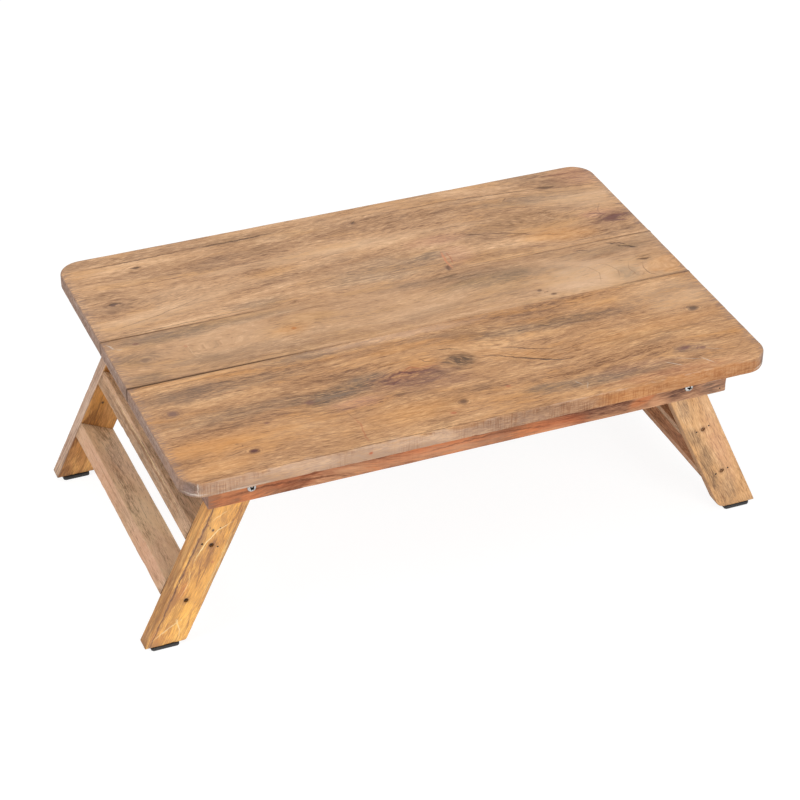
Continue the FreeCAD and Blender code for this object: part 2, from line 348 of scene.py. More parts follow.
# Small turned pieces
def turned(profile, turns, cross=None):
    """Points and faces of a turned shape from (radius, height) pairs, top to bottom, with an optional cross recess
    given as (length, width, depth)."""
    angles = np.arange(turns) * math.tau / turns
    rings = [np.column_stack([r * np.cos(angles), r * np.sin(angles), np.full(turns, z)]) for r, z in profile]
    points = np.concatenate(rings)
    recess = np.zeros(len(points))
    if cross:
        length, width, depth = cross
        lengths = np.abs(points[:, :2]).max(1) / (length / 2)
        widths = np.abs(points[:, :2]).min(1) / (width / 2)
        inside = np.clip((1 - widths) * 3, 0, 1) * np.clip((1 - lengths) * 3, 0, 1)
        upper = points[:, 2] > profile[0][1] * 0.4
        recess = inside * upper
        points[:, 2] -= recess * depth * np.clip(1.25 - lengths * 0.8, 0, 1)
    faces = [tuple(range(turns)), tuple(range(len(points) - 1, len(points) - turns - 1, -1))]
    for row in range(len(profile) - 1):
        a = row * turns
        for k in range(turns):
            n = (k + 1) % turns
            faces.append((a + n, a + k, a + turns + k, a + turns + n))
    return points, faces, recess


def pan_head(radius, height, shank, length):
    """The profile of a round-topped screw, head up from the origin and shank down."""
    crown = [(radius * s, height * (1 - 0.62 * s**2.6)) for s in np.linspace(0.02, 1, 22)]
    return crown + [(radius, 0.0), (shank, 0.0), (shank, -length), (0.1, -length)]


def scattered(shape, places):
    """Copies of one turned shape, each at a point with its head facing a direction."""
    points, faces, recess = shape
    every_point, every_face = [], []
    for point, direction, turn in places:
        spin = Matrix.Rotation(turn, 3, "Z")
        aim = np.array(Vector((0, 0, 1)).rotation_difference(Vector(direction)).to_matrix() @ spin)
        every_face += [tuple(i + len(points) * len(every_point) for i in f) for f in faces]
        every_point.append(points @ aim.T + np.array(point))
    return np.concatenate(every_point), every_face, np.tile(recess, len(every_point))


# Material nodes
def paint(red, green, blue):
    """A colour as it looks on a screen, from 0 to 255, as the shader takes it."""
    return tuple((c / 255 / 12.92 if c <= 10.31 else ((c / 255 + 0.055) / 1.055) ** 2.4) for c in
                 (red, green, blue)) + (1.0,)


class Wiring:
    """Short calls that add nodes to one tree. An argument is a value, or the socket that feeds it."""

    def __init__(self, tree):
        self.tree = tree

    def feed(self, socket, value):
        if isinstance(value, bpy.types.NodeSocket):
            self.tree.links.new(value, socket)
        elif value is not None:
            socket.default_value = value

    def add(self, kind, feeds, **settings):
        node = self.tree.nodes.new(kind)
        for key, value in settings.items():
            setattr(node, key, value)
        for key, value in feeds.items():
            self.feed(node.inputs[key], value)
        return node

    def math(self, operation, *values, clamp=False):
        return self.add("ShaderNodeMath", dict(enumerate(values)), operation=operation, use_clamp=clamp).outputs[0]

    def times(self, value, other):
        return self.math("MULTIPLY", value, other)

    def less(self, value, other):
        return self.math("SUBTRACT", value, other)

    def swing(self, base, value, share):
        """base, and a share of how far an even value lies from its middle."""
        return self.math("MULTIPLY_ADD", self.less(value, 0.5), share, base)

    def vector(self, operation, *values):
        node = self.add("ShaderNodeVectorMath", dict(enumerate(values)), operation=operation)
        return node.outputs[1 if operation == "LENGTH" else 0]

    def between(self, value, low, high, to_low=0.0, to_high=1.0):
        """A smooth step of a value from one range to another."""
        return self.add("ShaderNodeMapRange", {0: value, 1: low, 2: high, 3: to_low, 4: to_high},
                        interpolation_type="SMOOTHSTEP").outputs[0]

    def mix(self, share, low, high, blend="MIX"):
        return self.add("ShaderNodeMix", {0: share, 6: low, 7: high}, data_type="RGBA",
                        blend_type=blend).outputs[2]

    def noise(self, place, stretch, detail, roughness, shift):
        moved = self.vector("MULTIPLY_ADD", place, stretch, (shift, shift, shift))
        return self.add("ShaderNodeTexNoise", {"Vector": moved, "Scale": 1.0, "Detail": detail,
                                               "Roughness": roughness}).outputs["Fac"]

    def read(self, name, *outputs):
        found = self.add("ShaderNodeAttribute", {}, attribute_name=name).outputs
        return found[outputs[0]] if len(outputs) == 1 else [found[output] for output in outputs]

    def parts(self, vector):
        return self.add("ShaderNodeSeparateXYZ", {0: vector}).outputs

    def use(self, group, **feeds):
        node = self.add("ShaderNodeGroup", {}, node_tree=group)
        for key, value in feeds.items():
            self.feed(node.inputs[key.replace("_", " ")], value)
        return node.outputs


SOCKETS = {"value": "NodeSocketFloat", "vector": "NodeSocketVector", "colour": "NodeSocketColor"}


def effect(name, inputs, outputs):
    """A new node group with named inputs and outputs: its wiring, its inputs and a call that feeds its outputs."""
    group = bpy.data.node_groups.new(name, "ShaderNodeTree")
    for label, kind in inputs:
        group.interface.new_socket(name=label, in_out="INPUT", socket_type=SOCKETS[kind])
    for label, kind in outputs:
        group.interface.new_socket(name=label, in_out="OUTPUT", socket_type=SOCKETS[kind])
    start = group.nodes.new("NodeGroupInput")
    end = group.nodes.new("NodeGroupOutput")
    wiring = Wiring(group)

    def give(**feeds):
        for key, value in feeds.items():
            wiring.feed(end.inputs[key.replace("_", " ")], value)

    return group, wiring, start.outputs, give


def timber_effect():
    """Colour and relief of sawn wood: rings, broad bands, streaks, fibres, specks, pores and smudges."""
    group, w, get, give = effect("timber", [
        ("Grain", "vector"), ("Rings", "value"), ("Cuts", "vector"), ("Pale", "colour"), ("Middle", "colour"),
        ("Deep", "colour"), ("Flame", "colour"), ("Smudge", "colour"), ("End", "colour"), ("Ring Strength", "value"),
        ("Band Strength", "value"), ("Streak Strength", "value"), ("Flame Amount", "value"),
        ("Smudge Amount", "value"), ("Pore Amount", "value")],
        [("Colour", "colour"), ("Relief", "value"), ("Pores", "value"), ("Streaks", "value")])
    wander = w.less(w.noise(get["Grain"], (0.012, 0.05, 0.05), 2.0, 0.5, 97.0), 0.5)
    grain = w.vector("MULTIPLY_ADD", w.add("ShaderNodeCombineXYZ", {0: wander, 1: wander, 2: wander}).outputs[0],
                     (0.0, 9.0, 4.0), get["Grain"])
    band = w.noise(grain, (0.008, 0.045, 0.045), 2.0, 0.55, 7.0)
    streak = w.noise(grain, (0.028, 0.18, 0.18), 4.0, 0.62, 3.0)
    fibre = w.noise(grain, (0.08, 0.5, 0.5), 3.0, 0.7, 11.0)
    speck = w.noise(grain, (0.1, 1.15, 1.15), 2.0, 0.75, 17.0)
    count = w.swing(get["Rings"], streak, 0.5)
    turn = w.math("FRACT", count)
    late = w.times(w.between(turn, 0.3, 0.9), w.between(turn, 1.0, 0.92))
    patchy = w.noise(grain, (0.011, 0.03, 0.03), 2.0, 0.5, 83.0)
    late = w.times(late, w.between(patchy, 0.42, 0.64, 0.1, 1.0))
    streaks = w.swing(0.5, streak, 0.5)
    streaks = w.swing(streaks, fibre, 0.9)
    streaks = w.swing(streaks, speck, 1.9)
    tone = w.swing(0.5, band, get["Band Strength"])
    tone = w.swing(tone, streaks, get["Streak Strength"])
    tone = w.less(tone, w.times(late, get["Ring Strength"]))
    colour = w.mix(w.between(tone, -0.05, 0.5), get["Deep"], get["Middle"])
    colour = w.mix(w.between(tone, 0.45, 1.0), colour, get["Pale"])
    flame = w.noise(grain, (0.009, 0.05, 0.05), 3.0, 0.6, 29.0)
    flame = w.swing(flame, streaks, 0.18)
    flame = w.times(w.between(flame, 0.5, 0.68), get["Flame Amount"])
    colour = w.mix(flame, colour, get["Flame"])
    smudge = w.noise(grain, (0.013, 0.045, 0.045), 3.0, 0.55, 41.0)
    smudge = w.swing(smudge, streaks, -0.2)
    smudge = w.times(w.between(smudge, 0.5, 0.68), get["Smudge Amount"])
    colour = w.mix(smudge, colour, get["Smudge"])
    dash = w.noise(grain, (0.09, 0.8, 0.8), 1.0, 0.5, 53.0)
    pores = w.times(w.between(dash, 0.64, 0.76), get["Pore Amount"])
    colour = w.mix(pores, colour, w.mix(0.75, colour, get["Deep"], "MULTIPLY"))
    cut = w.mix(w.between(speck, 0.35, 0.65), w.mix(0.4, get["End"], get["Deep"]), get["End"])
    cut = w.mix(w.between(streak, 0.4, 0.58), w.mix(0.65, cut, (0.02, 0.016, 0.016, 1.0)), cut)
    colour = w.mix(w.times(w.parts(get["Cuts"])[0], 0.85), colour, cut)
    relief = w.math("MULTIPLY_ADD", streak, 0.6, w.times(fibre, 0.5))
    relief = w.math("MULTIPLY_ADD", speck, 0.35, relief)
    relief = w.less(relief, w.times(pores, 0.7))
    give(Colour=colour, Relief=relief, Pores=pores, Streaks=streaks)
    return group


def line_effect():
    """The mask of a crack, dark grain line or scratch, from how many of its widths a point lies off it."""
    group, w, get, give = effect("line mark", [("Off", "value"), ("Wobble", "value"), ("Amount", "value")],
                                 [("Mask", "value")])
    off = w.swing(get["Off"], get["Wobble"], 3.4)
    give(Mask=w.times(w.between(w.math("ABSOLUTE", off), 0.2, 1.0, 1.0, 0.0), get["Amount"]))
    return group


def knot_effect():
    """The masks of a knot: its dark heart, and thin rings round it that fade outwards."""
    group, w, get, give = effect("knot mark", [("Off", "vector"), ("Wobble", "value"), ("Amount", "value")],
                                 [("Heart", "value"), ("Rings", "value")])
    far = w.swing(w.vector("LENGTH", get["Off"]), get["Wobble"], 0.9)
    heart = w.times(w.between(far, 0.25, 0.95, 1.0, 0.0), get["Amount"])
    turn = w.math("FRACT", w.times(far, 2.6))
    rings = w.times(w.between(turn, 0.4, 0.85), w.between(turn, 1.0, 0.9))
    rings = w.times(rings, w.between(far, 0.7, 1.7, 1.0, 0.0))
    give(Heart=heart, Rings=w.times(rings, get["Amount"]))
    return group


def arris_effect():
    """The mask of a rubbed arris from the distance to it, broken up along its length."""
    group, w, get, give = effect("worn arris", [
        ("Grain", "vector"), ("Distance", "value"), ("Reach", "value")], [("Mask", "value")])
    rough = w.noise(get["Grain"], (0.05, 0.16, 0.16), 4.0, 0.65, 61.0)
    reach = w.times(get["Reach"], w.between(rough, 0.36, 0.68, 0.1, 1.6))
    give(Mask=w.between(get["Distance"], w.times(reach, 0.25), reach, 1.0, 0.0))
    return group


def saw_effect():
    """Fine marks that the saw left square to the grain."""
    group, w, get, give = effect("saw marks", [("Grain", "vector")], [("Mask", "value")])
    fine = w.noise(get["Grain"], (0.85, 0.05, 0.05), 3.0, 0.7, 71.0)
    patchy = w.noise(get["Grain"], (0.02, 0.05, 0.05), 2.0, 0.5, 73.0)
    give(Mask=w.times(w.between(fine, 0.42, 0.66), w.between(patchy, 0.38, 0.6)))
    return group


TIMBER, LINE, KNOT, ARRIS, SAW = timber_effect(), line_effect(), knot_effect(), arris_effect(), saw_effect()

# Tints of the marks on the wood
CRACK = paint(62, 42, 30)
DARK_GRAIN = paint(108, 76, 52)
BROWN = paint(150, 110, 78)
GREY_BROWN = paint(132, 108, 88)
SMOKE = paint(146, 122, 100)
PURPLE = paint(122, 82, 72)
ORANGE = paint(214, 152, 90)
RUST = paint(176, 92, 60)
TAN = paint(216, 176, 138)
CHALK = paint(214, 200, 186)
PINK = paint(206, 150, 122)
# CREAM paints highlights on the gold leg's lacquer, and a pale line of raised grain on the upper rung
CREAM = paint(252, 222, 164)
RAIL_DARK = paint(92, 52, 36)

# Layers of cracks and grain lines, so that lines which run close together don't meet in one
LINE_LAYERS = ("lines one", "lines two", "lines three")
# How many of its own sizes a point lies off a mark that doesn't reach it, and how far a knot's rings reach
FAR_OFF, KNOT_REACH = 9.0, 4.0


def wood(name, pale, middle, deep, flame, smudge, end, strengths, edge, side, rough=(0.42, 0.62), bump=0.35,
         coat=0.0, soak=0.5):
    """A wood material. strengths are those of rings, bands, streaks, flame, smudges and pores. edge is the tint,
    reach and strength of the rubbed arrises, and side the tint, its strength and that of the saw marks. soak is how
    dark the stain is that soaked into the board's ends."""
    material = bpy.data.materials.new(name)
    material.use_nodes = True
    shader = material.node_tree.nodes["Principled BSDF"]
    w = Wiring(material.node_tree)
    grain, spot = w.read("grain", "Vector"), w.read("spot", "Vector")
    cuts, state = w.read("cuts", "Vector"), w.parts(w.read("state", "Vector"))
    base = w.use(TIMBER, Grain=grain, Rings=w.read("rings", "Fac"), Cuts=cuts, Pale=pale, Middle=middle, Deep=deep,
                 Flame=flame, Smudge=smudge, End=end, Ring_Strength=strengths[0], Band_Strength=strengths[1],
                 Streak_Strength=strengths[2], Flame_Amount=strengths[3], Smudge_Amount=strengths[4],
                 Pore_Amount=strengths[5])
    colour, relief = base["Colour"], base["Relief"]
    contrast = w.vector("DIVIDE", colour, middle[:3])
    side_colour, side_amount, saw_amount = side
    end_cut, flank, _ = w.parts(cuts)
    saw = w.use(SAW, Grain=grain)["Mask"]
    own = w.mix(0.3, w.vector("MULTIPLY", side_colour[:3], contrast), side_colour)
    scored = w.times(w.times(saw, flank), saw_amount)
    colour = w.mix(w.times(flank, side_amount), colour, own)
    relief = w.less(relief, scored)
    broken = w.noise(spot, (0.10, 0.6, 0.6), 4.0, 0.7, 9.0)
    wobble = w.noise(spot, (0.11, 0.19, 0.19), 4.0, 0.62, 5.0)
    stain = w.read("stain", "Color", "Alpha")
    ragged = w.swing(base["Streaks"], broken, 0.9)
    cover = w.math("MULTIPLY", stain[1], w.between(ragged, 0.9, 0.1, 0.45, 1.15), clamp=True)
    colour = w.mix(cover, colour, w.mix(0.45, w.vector("MULTIPLY", stain[0], contrast), stain[0]))
    knot = w.read("knot tint", "Color", "Alpha")
    made = w.use(KNOT, Off=w.read("knot", "Vector"), Wobble=wobble, Amount=knot[1])
    colour = w.mix(w.times(made["Rings"], 0.35), colour, knot[0])
    colour = w.mix(made["Heart"], colour, knot[0])
    relief = w.less(relief, made["Heart"])
    off = w.parts(w.read("line places", "Vector"))
    for number, layer in enumerate(LINE_LAYERS):
        tint = w.read(layer, "Color", "Alpha")
        mask = w.use(LINE, Off=off[number], Wobble=wobble, Amount=tint[1])["Mask"]
        mask = w.times(mask, w.between(broken, 0.3, 0.55, 0.45, 1.0))
        colour = w.mix(mask, colour, tint[0])
        relief = w.less(relief, w.times(mask, 1.3))
    colour = w.mix(scored, colour, w.mix(0.8, colour, middle, "MULTIPLY"))
    edge_tint, edge_reach, edge_amount = edge
    rubbed = w.use(ARRIS, Grain=grain, Distance=state[0], Reach=edge_reach)["Mask"]
    edge_colour = w.mix(w.times(state[2], 0.7), edge_tint, w.mix(0.35, end, DARK_GRAIN))
    colour = w.mix(w.times(rubbed, edge_amount), colour, edge_colour)
    soaked = w.times(w.times(state[2], soak), w.between(base["Streaks"], 0.6, 0.35))
    colour = w.mix(soaked, colour, w.mix(0.8, colour, w.mix(0.5, end, BROWN)))
    # Painted shade: darkens towards CRACK by the state's second column, at open seams, under the planks, at rung ends,
    # round sunk screws and towards the feet.
    shade_mask = w.times(state[1], w.between(broken, 0.2, 0.6, 0.6, 1.0))
    colour = w.mix(shade_mask, colour, w.mix(0.7, colour, CRACK))
    gloss = w.noise(spot, (0.02, 0.03, 0.03), 3.0, 0.6, 17.0)
    sawn = w.math("ADD", end_cut, flank, clamp=True)
    dull = w.math("MULTIPLY_ADD", sawn, 0.4, w.between(gloss, 0.3, 0.7, *rough))
    w.feed(shader.inputs["Base Color"], colour)
    w.feed(shader.inputs["Roughness"], w.math("MULTIPLY_ADD", base["Pores"], 0.1, dull, clamp=True))
    shader.inputs["Specular IOR Level"].default_value = 0.28
    w.feed(shader.inputs["Coat Weight"], w.math("MULTIPLY_ADD", flank, -coat, coat) if coat else 0.0)
    shader.inputs["Coat Roughness"].default_value = 0.25
    raised = w.add("ShaderNodeBump", {"Height": relief, "Strength": bump, "Distance": 0.0006})
    w.feed(shader.inputs["Normal"], raised.outputs[0])
    return material


def within(spot, x, y, half_x, half_y, turn):
    """Places in a turned ellipse, 1 long at its rim."""
    c, s = math.cos(math.radians(turn)), math.sin(math.radians(turn))
    return (spot[:, :2] - (x, y)) @ np.array(((c, -s), (s, c))) / (half_x, half_y)


def stains(spot, patches, seed):
    """Tint and cover of soft, ragged stains laid over one another, from (x, y, half length, half width, turn,
    softness, tint, strength)."""
    ragged = smooth_noise(spot, (16.0, 7.0, 7.0), seed) + 0.5 * smooth_noise(spot, (7.0, 3.0, 3.0), seed + 1)
    tints, cover = np.zeros((len(spot), 3)), np.zeros(len(spot))
    for *ellipse, softness, tint, strength in patches:
        off = within(spot, *ellipse)
        far = np.hypot(off[:, 0], off[:, 1]) + 0.3 * ragged
        mask = np.clip((1 + softness - far) / (2 * softness), 0, 1)
        mask = strength * mask * mask * (3 - 2 * mask)
        tints = tints * (1 - mask)[:, None] + mask[:, None] * np.array(tint[:3])
        cover = cover * (1 - mask) + mask
    return np.column_stack([tints / np.maximum(cover, 1e-4)[:, None], cover])


def knot_marks(spot, knots):
    """Place within the nearest knot, and its tint and strength, from (x, y, half length, half width, turn, tint,
    strength)."""
    place, tints = np.full((len(spot), 3), FAR_OFF), np.zeros((len(spot), 4))
    nearest = np.full(len(spot), FAR_OFF)
    for *ellipse, tint, strength in knots:
        off = within(spot, *ellipse)
        far = np.hypot(off[:, 0], off[:, 1])
        near = far < np.minimum(nearest, KNOT_REACH)
        place[near] = np.column_stack([off, np.zeros(len(off))])[near]
        tints[near] = (*tint[:3], strength)
        tints[near, 3] *= np.clip((KNOT_REACH - far[near]) / 1.5, 0, 1)
        nearest[near] = far[near]
    return place, tints


def line_marks(spot, lines):
    """How many widths each point lies off the nearest line of each layer, and that line's tint and strength. A line
    is ((x, y), (x, y), ..., width, tint, strength). Lines that run close together go into different layers."""
    places = np.full((len(spot), len(LINE_LAYERS)), FAR_OFF)
    tints = np.zeros((len(LINE_LAYERS), len(spot), 4))
    taken = np.zeros((len(LINE_LAYERS), len(spot)), bool)
    for *path, width, tint, strength in lines:
        path = np.array(path, float)
        steps = np.linalg.norm(np.diff(path, axis=0), axis=1)
        passed = np.concatenate([[0], np.cumsum(steps)]) / steps.sum()
        far, off, share = np.full(len(spot), 99.0), np.zeros(len(spot)), np.zeros(len(spot))
        for k, (start, end) in enumerate(zip(path, path[1:])):
            ahead = (end - start) / steps[k]
            away = spot[:, :2] - start
            along = np.clip(away @ ahead, 0, steps[k])
            gap = np.linalg.norm(away - along[:, None] * ahead, axis=1)
            closer = gap < far
            far[closer] = gap[closer]
            off[closer] = (away @ np.array((-ahead[1], ahead[0])))[closer]
            share[closer] = (passed[k] + along / steps[k] * (passed[k + 1] - passed[k]))[closer]
        reach = 3.5 + 2 * width
        near = far < reach
        layer = int(np.argmin((taken & near).sum(1)))
        taken[layer] |= near
        taper = 1 - np.abs(2 * share - 1) ** 3
        places[near, layer] = (off / (width * (0.4 + 0.6 * taper)))[near]
        tints[layer, near, :3] = tint[:3]
        tints[layer, near, 3] = (strength * taper * np.clip((reach - far) / 2, 0, 1))[near]
    return places, tints


# Marks on the planks, read in the frame's x and y
FRONT_LINES = [
    ((-68, -118), (-60, -109), (-48, -104), (-40, -109), (-25, -109), (-8, -106), 2.4, paint(106, 62, 54), 1.0),
    ((-72, -118), (-62, -121), (-50, -114), 1.9, paint(106, 62, 54), 0.95),
    ((-50, -108), (-36, -99), (-30, -104), (-6, -105), 0.9, RUST, 0.75),
    ((-66, -124), (-46, -129), (-20, -126), (0, -117), 1.0, PURPLE, 0.55),
    ((-22, -88), (-19, -96), (-10, -100), 1.0, DARK_GRAIN, 0.7), ((-4, -80), (12, -83), (24, -90), 1.1, CRACK, 0.8),
    ((-10, -92), (8, -94), (28, -101), 0.9, DARK_GRAIN, 0.6),
    ((28, -102), (52, -112), (76, -127), (100, -138), (122, -143), 1.7, DARK_GRAIN, 0.95),
    ((70, -122), (95, -137), (118, -143), 1.2, CRACK, 0.8),
    ((56, -98), (72, -104), (84, -111), (112, -122), 1.3, DARK_GRAIN, 0.9),
    ((40, -106), (60, -112), (74, -120), 0.9, DARK_GRAIN, 0.6), ((4, -101), (10, -110), 1.0, CRACK, 0.6),
    ((10, -98), (17, -108), 1.0, CRACK, 0.6), ((16, -99), (23, -109), 1.0, CRACK, 0.6),
    ((6, -108), (13, -115), 1.0, CRACK, 0.6), ((17, -110), (24, -116), 0.9, CRACK, 0.5),
    ((-118, -156), (-116, -172), (-119, -190), (-119, -205), 1.1, RUST, 0.5),
    ((-121, -148), (-118, -160), 0.8, DARK_GRAIN, 0.5),
    ((-290, -128), (-230, -120), (-170, -118), 0.9, DARK_GRAIN, 0.5),
    ((-152, -121), (-130, -119), (-96, -119), 3.2, GREY_BROWN, 0.8),
    ((-190, -140), (-150, -137), (-100, -148), 0.9, DARK_GRAIN, 0.6),
    ((-250, -176), (-228, -172), 0.9, DARK_GRAIN, 0.6),
    ((-100, -157), (-20, -152), (60, -151), 0.9, DARK_GRAIN, 0.4),
    ((150, -140), (220, -131), (290, -129), 0.8, DARK_GRAIN, 0.45),
    ((60, -135), (150, -118), (240, -112), 0.8, DARK_GRAIN, 0.4), ((86, -78), (95, -79), 1.2, CRACK, 0.8),
    ((110, -76), (124, -82), 1.2, CRACK, 0.8), ((130, -81), (150, -84), (178, -87), 1.4, DARK_GRAIN, 0.85),
    ((60, -68), (100, -72), (140, -74), 0.8, DARK_GRAIN, 0.5),
    ((-300, -48), (-220, -46), (-130, -46), 1.2, DARK_GRAIN, 0.45), ((100, -178), (106, -188), 1.0, CHALK, 0.35),
    ((196, -180), (212, -194), 0.9, CHALK, 0.6), ((232, -184), (242, -200), 1.0, CHALK, 0.6),
    ((205, -176), (235, -190), 0.6, CHALK, 0.45), ((112, -184), (106, -196), 0.9, CHALK, 0.35),
    ((244, -172), (262, -182), 0.6, CHALK, 0.45), ((214, -170), (232, -164), (246, -166), 1.2, PURPLE, 0.6),
    ((-292, -205.6), (-200, -206), (-100, -205.7), (0, -206), (110, -205.8), 0.9, DARK_GRAIN, 0.7),
    ((-286, -205), (-289, -212), (-292, -219), 1.2, CHALK, 0.75),
    ((-311, -197), (-302, -210), (-292, -217.5), (-276, -221), 1.1, CHALK, 0.7),
    ((-276, -221.5), (-240, -222), (-214, -221.5), 1.0, CHALK, 0.5),
    ((282, -221), (294, -216), (304, -206), 1.3, CHALK, 0.7),
    ((-309, -150), (-308, -90), (-309, -44), 1.6, CRACK, 0.5),
    ((-303, -176), (-303, -120), (-303, -60), 1.2, CHALK, 0.4),
]
FRONT_PATCHES = [
    (-190, -140, 120, 50, 0, 0.7, paint(172, 128, 92), 0.35), (-210, -112, 66, 10, 2, 0.5, GREY_BROWN, 0.6),
    (-112, -116, 50, 12, 6, 0.5, paint(108, 86, 70), 0.9), (-84, -104, 24, 8, 10, 0.5, GREY_BROWN, 0.7),
    (-40, -115, 40, 14, 4, 0.6, paint(130, 86, 72), 0.75), (14, -106, 17, 11, 0, 0.4, paint(112, 86, 64), 0.85),
    (-18, -134, 36, 9, -4, 0.6, PURPLE, 0.4), (-20, -97, 16, 7, 0, 0.5, ORANGE, 0.5),
    (-104, -138, 26, 7, 0, 0.6, PINK, 0.5), (125, -78, 92, 9, -3, 0.6, paint(128, 100, 78), 0.75),
    (-220, -68, 80, 12, 1, 0.6, SMOKE, 0.5), (118, -184, 60, 9, -2, 0.5, GREY_BROWN, 0.75),
    (72, -178, 22, 6, 0, 0.5, GREY_BROWN, 0.6), (165, -178, 40, 8, 0, 0.6, PURPLE, 0.4),
    (262, -75, 44, 24, 0, 0.7, TAN, 0.65), (-260, -155, 50, 14, 3, 0.7, ORANGE, 0.6),
    (-262, -190, 40, 10, 3, 0.7, ORANGE, 0.5), (-60, -172, 60, 14, 0, 0.7, ORANGE, 0.5),
    (200, -199, 60, 8, 0, 0.6, RUST, 0.3), (40, -60, 120, 9, -2, 0.7, BROWN, 0.5),
    (232, -166, 26, 7, 0, 0.6, GREY_BROWN, 0.5), (210, -122, 70, 12, 4, 0.7, ORANGE, 0.4),
    (-140, -92, 60, 7, 2, 0.6, BROWN, 0.5), (-130, -46, 36, 7, 0, 0.6, GREY_BROWN, 0.65),
    (-20, -43, 90, 5, 0, 0.6, paint(208, 168, 138), 0.6), (-36, -66, 40, 5, 3, 0.5, ORANGE, 0.55),
    (-273, -94, 16, 10, 0, 0.6, BROWN, 0.5), (70, -118, 40, 9, -24, 0.6, ORANGE, 0.4),
    (-150, -218, 200, 11, 0, 0.15, paint(192, 160, 136), 0.75),
    (190, -218, 120, 11, 0, 0.2, paint(186, 128, 80), 0.8), (40, -218, 80, 11, 0, 0.3, paint(152, 120, 98), 0.75),
    (-299, -207, 10, 9, 0, 0.4, paint(122, 100, 84), 0.7),
]
FRONT_KNOTS = [
    (-272, -92, 9, 7, -20, paint(124, 92, 80), 0.85), (-222, -176, 7, 5, -10, paint(98, 60, 50), 1.0),
    (-12, -172, 7, 6, 0, paint(116, 82, 58), 0.95), (226, -165, 10, 5, -8, PURPLE, 0.85),
    (243, -171, 5, 3.5, 0, PURPLE, 0.7), (268, -103, 9, 6, 0, paint(110, 84, 66), 0.95),
    (-147, -121, 7, 5, 0, PURPLE, 0.8), (-28, -186, 4, 3, 0, RUST, 0.6), (-196, -138, 4, 2.4, 0, PURPLE, 0.6),
    (38, -164, 4, 3, 0, RUST, 0.5), (-120, -216, 3, 2.4, 0, RUST, 0.8), (-233, -160, 3, 2, 0, DARK_GRAIN, 0.5),
]
MIDDLE_LINES = [
    ((205, 40), (214, 39), (222, 35), 1.3, CRACK, 0.8), ((242, 45), (250, 41), (260, 38), 1.6, CRACK, 0.85),
    ((251, 37), (258, 32), (266, 28), (273, 23), 2.0, CRACK, 0.95), ((256, 40), (264, 33), 1.2, CRACK, 0.7),
    ((196, 43), (240, 45), 0.9, DARK_GRAIN, 0.6), ((258, 3), (268, 1), (277, 1), 2.0, DARK_GRAIN, 0.85),
    ((-296, 44), (-290, 33), 1.5, CHALK, 0.75), ((-290, 33), (-282, 30), 0.9, CHALK, 0.6),
    ((-300, -33), (-262, -36), 1.3, DARK_GRAIN, 0.6), ((210, -36), (250, -36), (300, -35), 1.3, DARK_GRAIN, 0.6),
    ((-180, -28), (-110, -33), 0.9, DARK_GRAIN, 0.5), ((60, 34), (130, 36), 0.9, DARK_GRAIN, 0.5),
    ((130, -34), (160, -37), 1.1, DARK_GRAIN, 0.6), ((-140, 44), (-60, 46), 0.9, DARK_GRAIN, 0.4),
    ((262, -6), (258, -16), (260, -28), (268, -34), 1.1, BROWN, 0.8),
    ((250, 2), (244, -10), (246, -26), (252, -34), 0.8, BROWN, 0.55),
    ((214, 12), (226, 4), (232, -10), (226, -26), 0.8, BROWN, 0.55),
    ((-303, -34), (-303, 6), (-303, 48), 1.1, CHALK, 0.4), ((-310, -34), (-309, 10), (-311, 46), 1.4, CRACK, 0.4),
    ((190, 14), (206, 6), (212, -8), (204, -28), 0.8, BROWN, 0.5),
    ((-232, 8), (-222, 16), (-222, -2), (-214, -18), 0.9, TAN, 0.6),
    ((-100, 30), (-60, 26), (0, 28), 0.8, BROWN, 0.4), ((-60, -10), (20, -14), (110, -10), 0.8, BROWN, 0.4),
]
MIDDLE_PATCHES = [
    (-232, 38, 56, 9, 0, 0.5, GREY_BROWN, 0.8), (-150, 40, 50, 6, 0, 0.6, SMOKE, 0.5),
    (105, 20, 52, 15, 0, 0.6, paint(136, 112, 88), 0.75), (60, 38, 60, 7, 0, 0.6, GREY_BROWN, 0.5),
    (-190, 8, 56, 18, 0, 0.7, TAN, 0.35), (-118, 6, 16, 8, 0, 0.7, ORANGE, 0.5),
    (-276, 8, 26, 11, 0, 0.6, GREY_BROWN, 0.5), (-276, -27, 24, 8, 0, 0.6, GREY_BROWN, 0.7),
    (-80, -26, 110, 6, 1, 0.6, BROWN, 0.55), (288, -18, 30, 17, 0, 0.15, ORANGE, 0.55),
    (206, -6, 56, 28, 0, 0.6, paint(224, 184, 147), 0.8), (238, -18, 14, 14, 0, 0.5, SMOKE, 0.5),
    (20, 0, 90, 20, 0, 0.7, TAN, 0.25), (-190, -14, 60, 8, 0, 0.7, SMOKE, 0.4),
    (240, 30, 50, 8, 0, 0.6, SMOKE, 0.45), (140, 44, 50, 5, 0, 0.6, BROWN, 0.5),
]
MIDDLE_KNOTS = [
    (-115, 6, 4, 3.4, 0, paint(186, 116, 60), 0.8), (-268, 4, 9, 5, 0, paint(136, 106, 84), 0.8),
    (-224, 14, 3, 2.4, 0, RUST, 0.5), (140, -17, 4, 3, 0, DARK_GRAIN, 0.8),
    (151, -28, 4.5, 3.2, 0, DARK_GRAIN, 0.85), (268, 1, 6, 4, 0, DARK_GRAIN, 0.7), (-268, 35, 5, 4, 0, PURPLE, 0.6),
]
